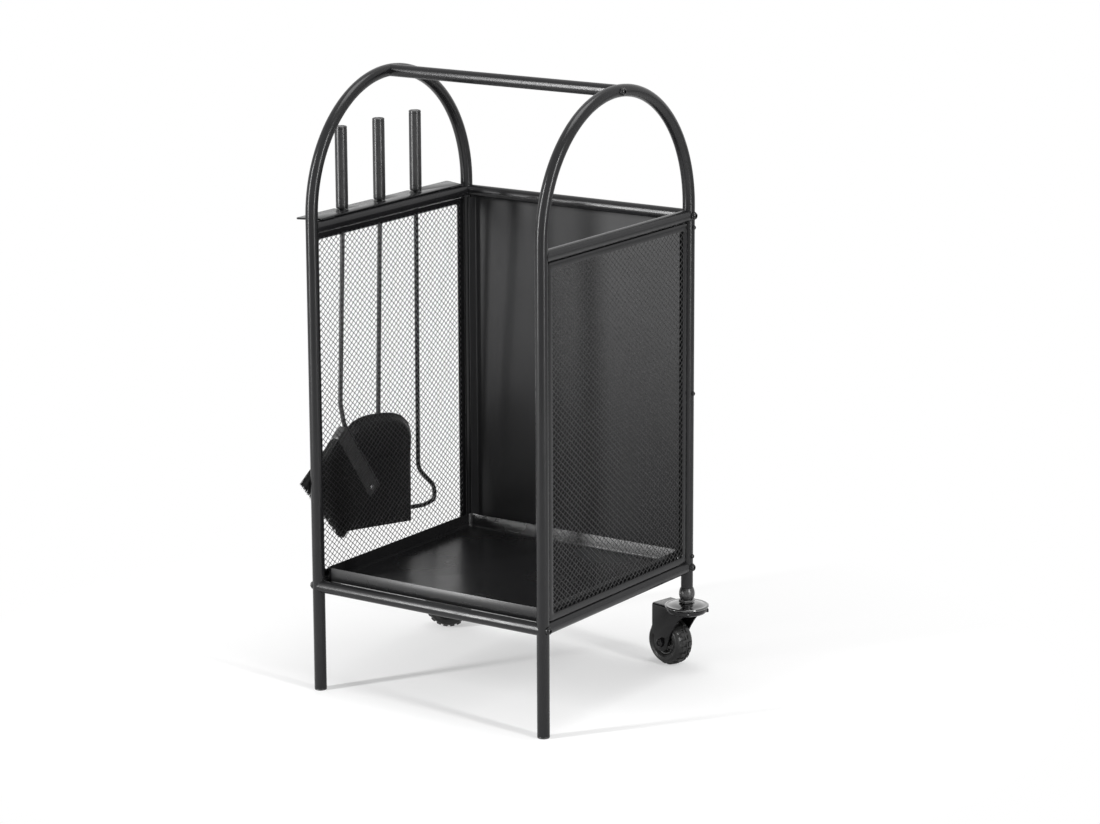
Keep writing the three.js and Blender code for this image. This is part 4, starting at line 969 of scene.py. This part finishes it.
def stem_and_nut():
    nut = rings("nut", [hexagon(9.8, 91.6), hexagon(10.9, 92.2), hexagon(10.9, 95.8), hexagon(9.8, 96.4)])
    stem = turned("stem", [(0, 74.4), (8, 74.4), (8, 76.4), (5, 76.6), (5, 125.0), (4, 126.0), (0, 126.0)], 24)
    return join(nut, stem)


def bearing_cup():
    return turned_ring("cup", [
        (5.4, 85.4), (27.8, 85.4), (28.8, 85.7), (29.3, 86.4), (29.35, 87.1), (28.9, 88.1), (28.0, 88.5),
        (26.6, 88.6), (25.5, 88.3), (24.4, 88.3), (21.0, 89.5), (17.0, 90.8), (14.0, 91.2),
        (9.0, 91.3), (5.4, 91.3)], 64)


def fork_shell():
    """A folded fork: a flat top over the wheel, two arms, and the lower race under the cup."""
    outer, inner = ARM_INNER + ARM_SHEET, ARM_INNER
    under = FORK_TOP - ARM_SHEET
    channel = filleted([(-outer, ARM_LOW_Z), (-outer, FORK_TOP), (outer, FORK_TOP), (outer, ARM_LOW_Z),
                        (inner, ARM_LOW_Z), (inner, under), (-inner, under), (-inner, ARM_LOW_Z)],
                       [0, 3.4, 3.4, 0, 0, 1.4, 1.4, 0], 6)
    folded = rings("fold", [[(x, y, z) for y, z in channel] for x in (-FORK_FRONT, TRAIL + FORK_BACK)])
    eye = [(TRAIL + EYE_RADIUS * math.cos(a), WHEEL_R + EYE_RADIUS * math.sin(a))
           for a in (math.radians(180 + 12 * k) for k in range(16))]
    blank = [(-24.0, FORK_TOP + 5), (-24.0, 79.0), (-12.0, 76.6), (-3.0, 70.0), (4.5, 60.5),
             (10.5, 51.0), (14.0, 44.7), *eye,
             (TRAIL + 12.5, 40.5), (TRAIL + FORK_BACK, 46.0), (TRAIL + 18.0, FORK_TOP + 5)]
    cutter = rings("blank", [[(x, y, z) for x, z in blank] for y in (-30.0, 30.0)])
    fork = softened(intersected(folded, cutter), 0.45, 2, 40)
    race = turned_ring("race", [
        (5.3, 77.2), (22.0, 77.2), (24.5, 78.0), (26.8, 80.2), (27.4, 82.2), (27.4, 84.2), (26.9, 84.9),
        (26.0, 85.0), (5.3, 85.0)], 64)
    return join(fork, race)


def across(mesh):
    """Turns a piece made about Z onto the wheel's axle."""
    return moved(mesh, Matrix.Translation((TRAIL, 0, WHEEL_R)) @ Matrix.Rotation(math.radians(90), 4, "X"))


def axle_bolt():
    face = ARM_INNER + ARM_SHEET + 0.1
    head = turned("axle", [
        (0, -face - 3.2), (2.6, -face - 3.2), (2.6, -face), (2.95, -face), (2.95, face), (6.2, face),
        (6.2, face + 0.7), (5.3, face + 0.9), (5.1, face + 2.2), (4.3, face + 3.2), (2.2, face + 3.6),
        (0, face + 3.65)], 32)
    return across(head)


def axle_nut():
    face = ARM_INNER + ARM_SHEET + 0.3
    loops = [hexagon(5.3, -face), hexagon(5.9, -face - 0.5), hexagon(5.9, -face - 2.9), hexagon(5.2, -face - 3.4)]
    bored = [circle(3.1, -face - 3.4), circle(3.1, -face)]
    return across(rings("nut", loops + bored, closed=True))


def hub():
    return across(turned_ring("hub", [
        (3.15, -16.0), (5.4, -16.0), (6.2, -15.4), (6.6, -6.4), (7.6, -4.9), (12.4, -4.5), (13.7, -5.4),
        (14.6, -10.8), (15.2, -11.7), (16.4, -12.0), (16.9, -11.5), (16.9, 11.5), (16.4, 12.0), (15.2, 11.7),
        (14.6, 10.8), (13.7, 5.4), (12.4, 4.5), (7.6, 4.9), (6.6, 6.4), (6.2, 15.4), (5.4, 16.0),
        (3.15, 16.0)], 40))


def tyre():
    """A fat tyre with a moulded rib round its crown between two staggered rows of blocks."""
    half = [(17.2, 11.6), (18.0, 12.6), (18.8, 12.9), (19.3, 13.4), (20.6, 14.4), (21.6, 14.7), (22.2, 14.5),
            (22.8, 14.9), (23.8, 15.0), (26.0, 14.3), (28.0, 12.4), (29.2, 9.6), (29.9, 6.0), (30.2, 1.6),
            (WHEEL_R - 1.0, 1.1), (WHEEL_R - 0.8, 0.5)]
    carcass = turned_ring("carcass", half + [(radius, -z) for radius, z in reversed(half)], 96)
    block = rings("block", [
        [(-2.7, 2.0, -3.2), (2.7, 2.0, -3.2), (3.0, 12.4, -5.6), (-3.0, 12.4, -5.6)],
        [(-2.7, 2.0, 0.9), (2.7, 2.0, 0.9), (3.1, 8.4, 0.0), (-3.1, 8.4, 0.0)],
        [(-2.2, 2.5, 1.55), (2.2, 2.5, 1.55), (2.5, 7.8, 0.75), (-2.5, 7.8, 0.75)]])
    shoulder = rings("shoulder", [
        [(-1.9, 8.6, -3.0), (1.9, 8.6, -3.0), (2.2, 12.6, -6.6), (-2.2, 12.6, -6.6)],
        [(-1.9, 8.8, 0.0), (1.9, 8.8, 0.0), (2.2, 13.4, -3.9), (-2.2, 13.4, -3.9)]])
    block = join(block, shoulder)
    blocks = scatter_tree("tread_block", block, RUBBER)
    places = []
    for row in (0, 1):
        for k in range(LUGS):
            turn = 2 * math.pi * (k + 0.5 * row) / LUGS
            basis = tread_basis(turn, row)
            places.append((basis.translation, basis.to_euler()))
    return across(join(carcass, run_tree(blocks, spots(places))))


def tread_basis(turn, row):
    """Stands a tread block on the crown: its x runs round the wheel and its y towards one side."""
    outwards = Vector((math.cos(turn), math.sin(turn), 0))
    sideways = Vector((0, 0, -1 if row else 1))
    round_wheel = sideways.cross(outwards)
    spot = outwards * (WHEEL_R - 1.7)
    return Matrix((
        (round_wheel.x, sideways.x, outwards.x, spot.x),
        (round_wheel.y, sideways.y, outwards.y, spot.y),
        (round_wheel.z, sideways.z, outwards.z, spot.z),
        (0, 0, 0, 1)))


for side_name, side in SIDES:
    stand = Matrix.Translation((side * POST_X, POST_Y, 0))
    heading = stand @ Matrix.Rotation(HEADINGS[side_name], 4, "Z")
    piece(f"{side_name}_socket_collar", moved(socket_collar(), stand), PLASTIC, "black_plastic", "frame",
          f"{side_name}_caster_socket")
    piece(f"{side_name}_stem_and_nut", moved(stem_and_nut(), heading), POLISHED, "black_steel", "frame",
          f"{side_name}_caster_stem")
    piece(f"{side_name}_bearing_cup", moved(bearing_cup(), stand), POLISHED, "black_steel", "frame",
          f"{side_name}_swivel_cup", smooth_angle=50)
    piece(f"{side_name}_folded_fork", moved(fork_shell(), heading), STEEL, "black_steel",
          f"{side_name}_swivel", f"{side_name}_fork")
    piece(f"{side_name}_wheel_bolt", moved(axle_bolt(), heading), STEEL, "black_steel",
          f"{side_name}_swivel", f"{side_name}_axle_bolt")
    piece(f"{side_name}_wheel_nut", moved(axle_nut(), heading), STEEL, "black_steel",
          f"{side_name}_swivel", f"{side_name}_axle_nut")
    piece(f"{side_name}_moulded_hub", moved(hub(), heading), PLASTIC, "black_plastic",
          f"{side_name}_wheel", f"{side_name}_wheel_hub")
    piece(f"{side_name}_rubber_tyre", moved(tyre(), heading), RUBBER, "tyre",
          f"{side_name}_wheel", f"{side_name}_tyre")


# ------------------------------------------------------------------ studio
def pale_floor():
    """A matt pale floor that keeps the cart's shadow and runs out into the white background."""
    material = bpy.data.materials.new("pale_floor")
    material.use_nodes = True
    nodes, links = material.node_tree.nodes, material.node_tree.links
    nodes["Principled BSDF"].inputs["Base Color"].default_value = (0.9, 0.9, 0.9, 1.0)
    nodes["Principled BSDF"].inputs["Roughness"].default_value = 0.9
    white = nodes.new("ShaderNodeEmission")
    path = nodes.new("ShaderNodeLightPath")
    place = nodes.new("ShaderNodeTexCoord")
    reach = nodes.new("ShaderNodeVectorMath")
    reach.operation = "LENGTH"
    fade = nodes.new("ShaderNodeMapRange")
    fade.inputs["From Min"].default_value = 0.2
    fade.inputs["From Max"].default_value = 0.75
    fade.inputs["To Min"].default_value = 0.35
    seen = nodes.new("ShaderNodeMath")
    seen.operation = "MULTIPLY"
    blend = nodes.new("ShaderNodeMixShader")
    links.new(place.outputs["Object"], reach.inputs[0])
    links.new(reach.outputs["Value"], fade.inputs["Value"])
    links.new(fade.outputs["Result"], seen.inputs[0])
    links.new(path.outputs["Is Camera Ray"], seen.inputs[1])
    links.new(seen.outputs["Value"], blend.inputs["Fac"])
    links.new(nodes["Principled BSDF"].outputs["BSDF"], blend.inputs[1])
    links.new(white.outputs["Emission"], blend.inputs[2])
    links.new(blend.outputs["Shader"], nodes["Material Output"].inputs["Surface"])
    return material


def studio_floor():
    mesh = mesh_of("floor", [(-6, -6, 0), (6, -6, 0), (6, 6, 0), (-6, 6, 0)], [(0, 1, 2, 3)])
    floor = loose_object(mesh)
    floor.name = "studio_floor"
    mesh.materials.append(pale_floor())


def soft_lamp(name, place, target, size, energy):
    light = bpy.data.lights.new(name, "AREA")
    light.shape = "RECTANGLE"
    light.size, light.size_y = size
    light.energy = energy
    lamp = bpy.data.objects.new(name, light)
    lamp.location = place
    lamp.rotation_euler = (Vector(target) - Vector(place)).to_track_quat("-Z", "Y").to_euler()
    bpy.context.scene.collection.objects.link(lamp)


def studio_world():
    world = bpy.data.worlds.new("studio")
    world.use_nodes = True
    nodes, links = world.node_tree.nodes, world.node_tree.links
    background = nodes["Background"]
    background.inputs["Color"].default_value = (1, 1, 1, 1)
    path = nodes.new("ShaderNodeLightPath")
    straight = nodes.new("ShaderNodeMath")
    straight.operation = "MAXIMUM"
    white = nodes.new("ShaderNodeMath")
    white.operation = "MAXIMUM"
    seen = nodes.new("ShaderNodeMix")
    seen.inputs["A"].default_value = 0.42
    seen.inputs["B"].default_value = 1.0
    links.new(path.outputs["Is Camera Ray"], straight.inputs[0])
    links.new(path.outputs["Is Glossy Ray"], straight.inputs[1])
    links.new(straight.outputs["Value"], white.inputs[0])
    links.new(path.outputs["Is Transmission Ray"], white.inputs[1])
    links.new(white.outputs["Value"], seen.inputs["Factor"])
    links.new(seen.outputs["Result"], background.inputs["Strength"])
    bpy.context.scene.world = world


def photo_camera():
    """The photograph's view: from the front right, a little above the middle of the cart."""
    azimuth, elevation, roll = math.radians(34.18), math.radians(12.72), math.radians(-0.238)
    back = Vector((math.sin(azimuth) * math.cos(elevation), -math.cos(azimuth) * math.cos(elevation),
                   math.sin(elevation)))
    right = Vector((math.cos(azimuth), math.sin(azimuth), 0))
    up = back.cross(right)
    across_view = right * math.cos(roll) + up * math.sin(roll)
    up_view = up * math.cos(roll) - right * math.sin(roll)
    data = bpy.data.cameras.new("photo_camera")
    data.sensor_width = 36.0
    data.lens = 3467 / 1100 * data.sensor_width
    data.shift_y = -0.05
    data.clip_end = 50
    camera = bpy.data.objects.new("photo_camera", data)
    place = CENTRE + Vector((0.0732, 0, 0.4423)) + back * 4.420
    camera.matrix_world = Matrix((
        (across_view.x, up_view.x, back.x, place.x), (across_view.y, up_view.y, back.y, place.y),
        (across_view.z, up_view.z, back.z, place.z), (0, 0, 0, 1)))
    bpy.context.scene.collection.objects.link(camera)
    bpy.context.scene.camera = camera


studio_floor()
studio_world()
soft_lamp("left_strip", (-1.5, -2.5, 1.2), (0, 0, 0.45), (0.2, 2.4), 112)
soft_lamp("right_strip", (2.7, -0.5, 1.2), (0, 0, 0.45), (0.2, 2.4), 66)
soft_lamp("top_softbox", (0.2, 0.2, 2.6), (0, 0, 0.4), (1.2, 1.2), 26)
photo_camera()
bpy.context.scene.view_settings.view_transform = "Standard"
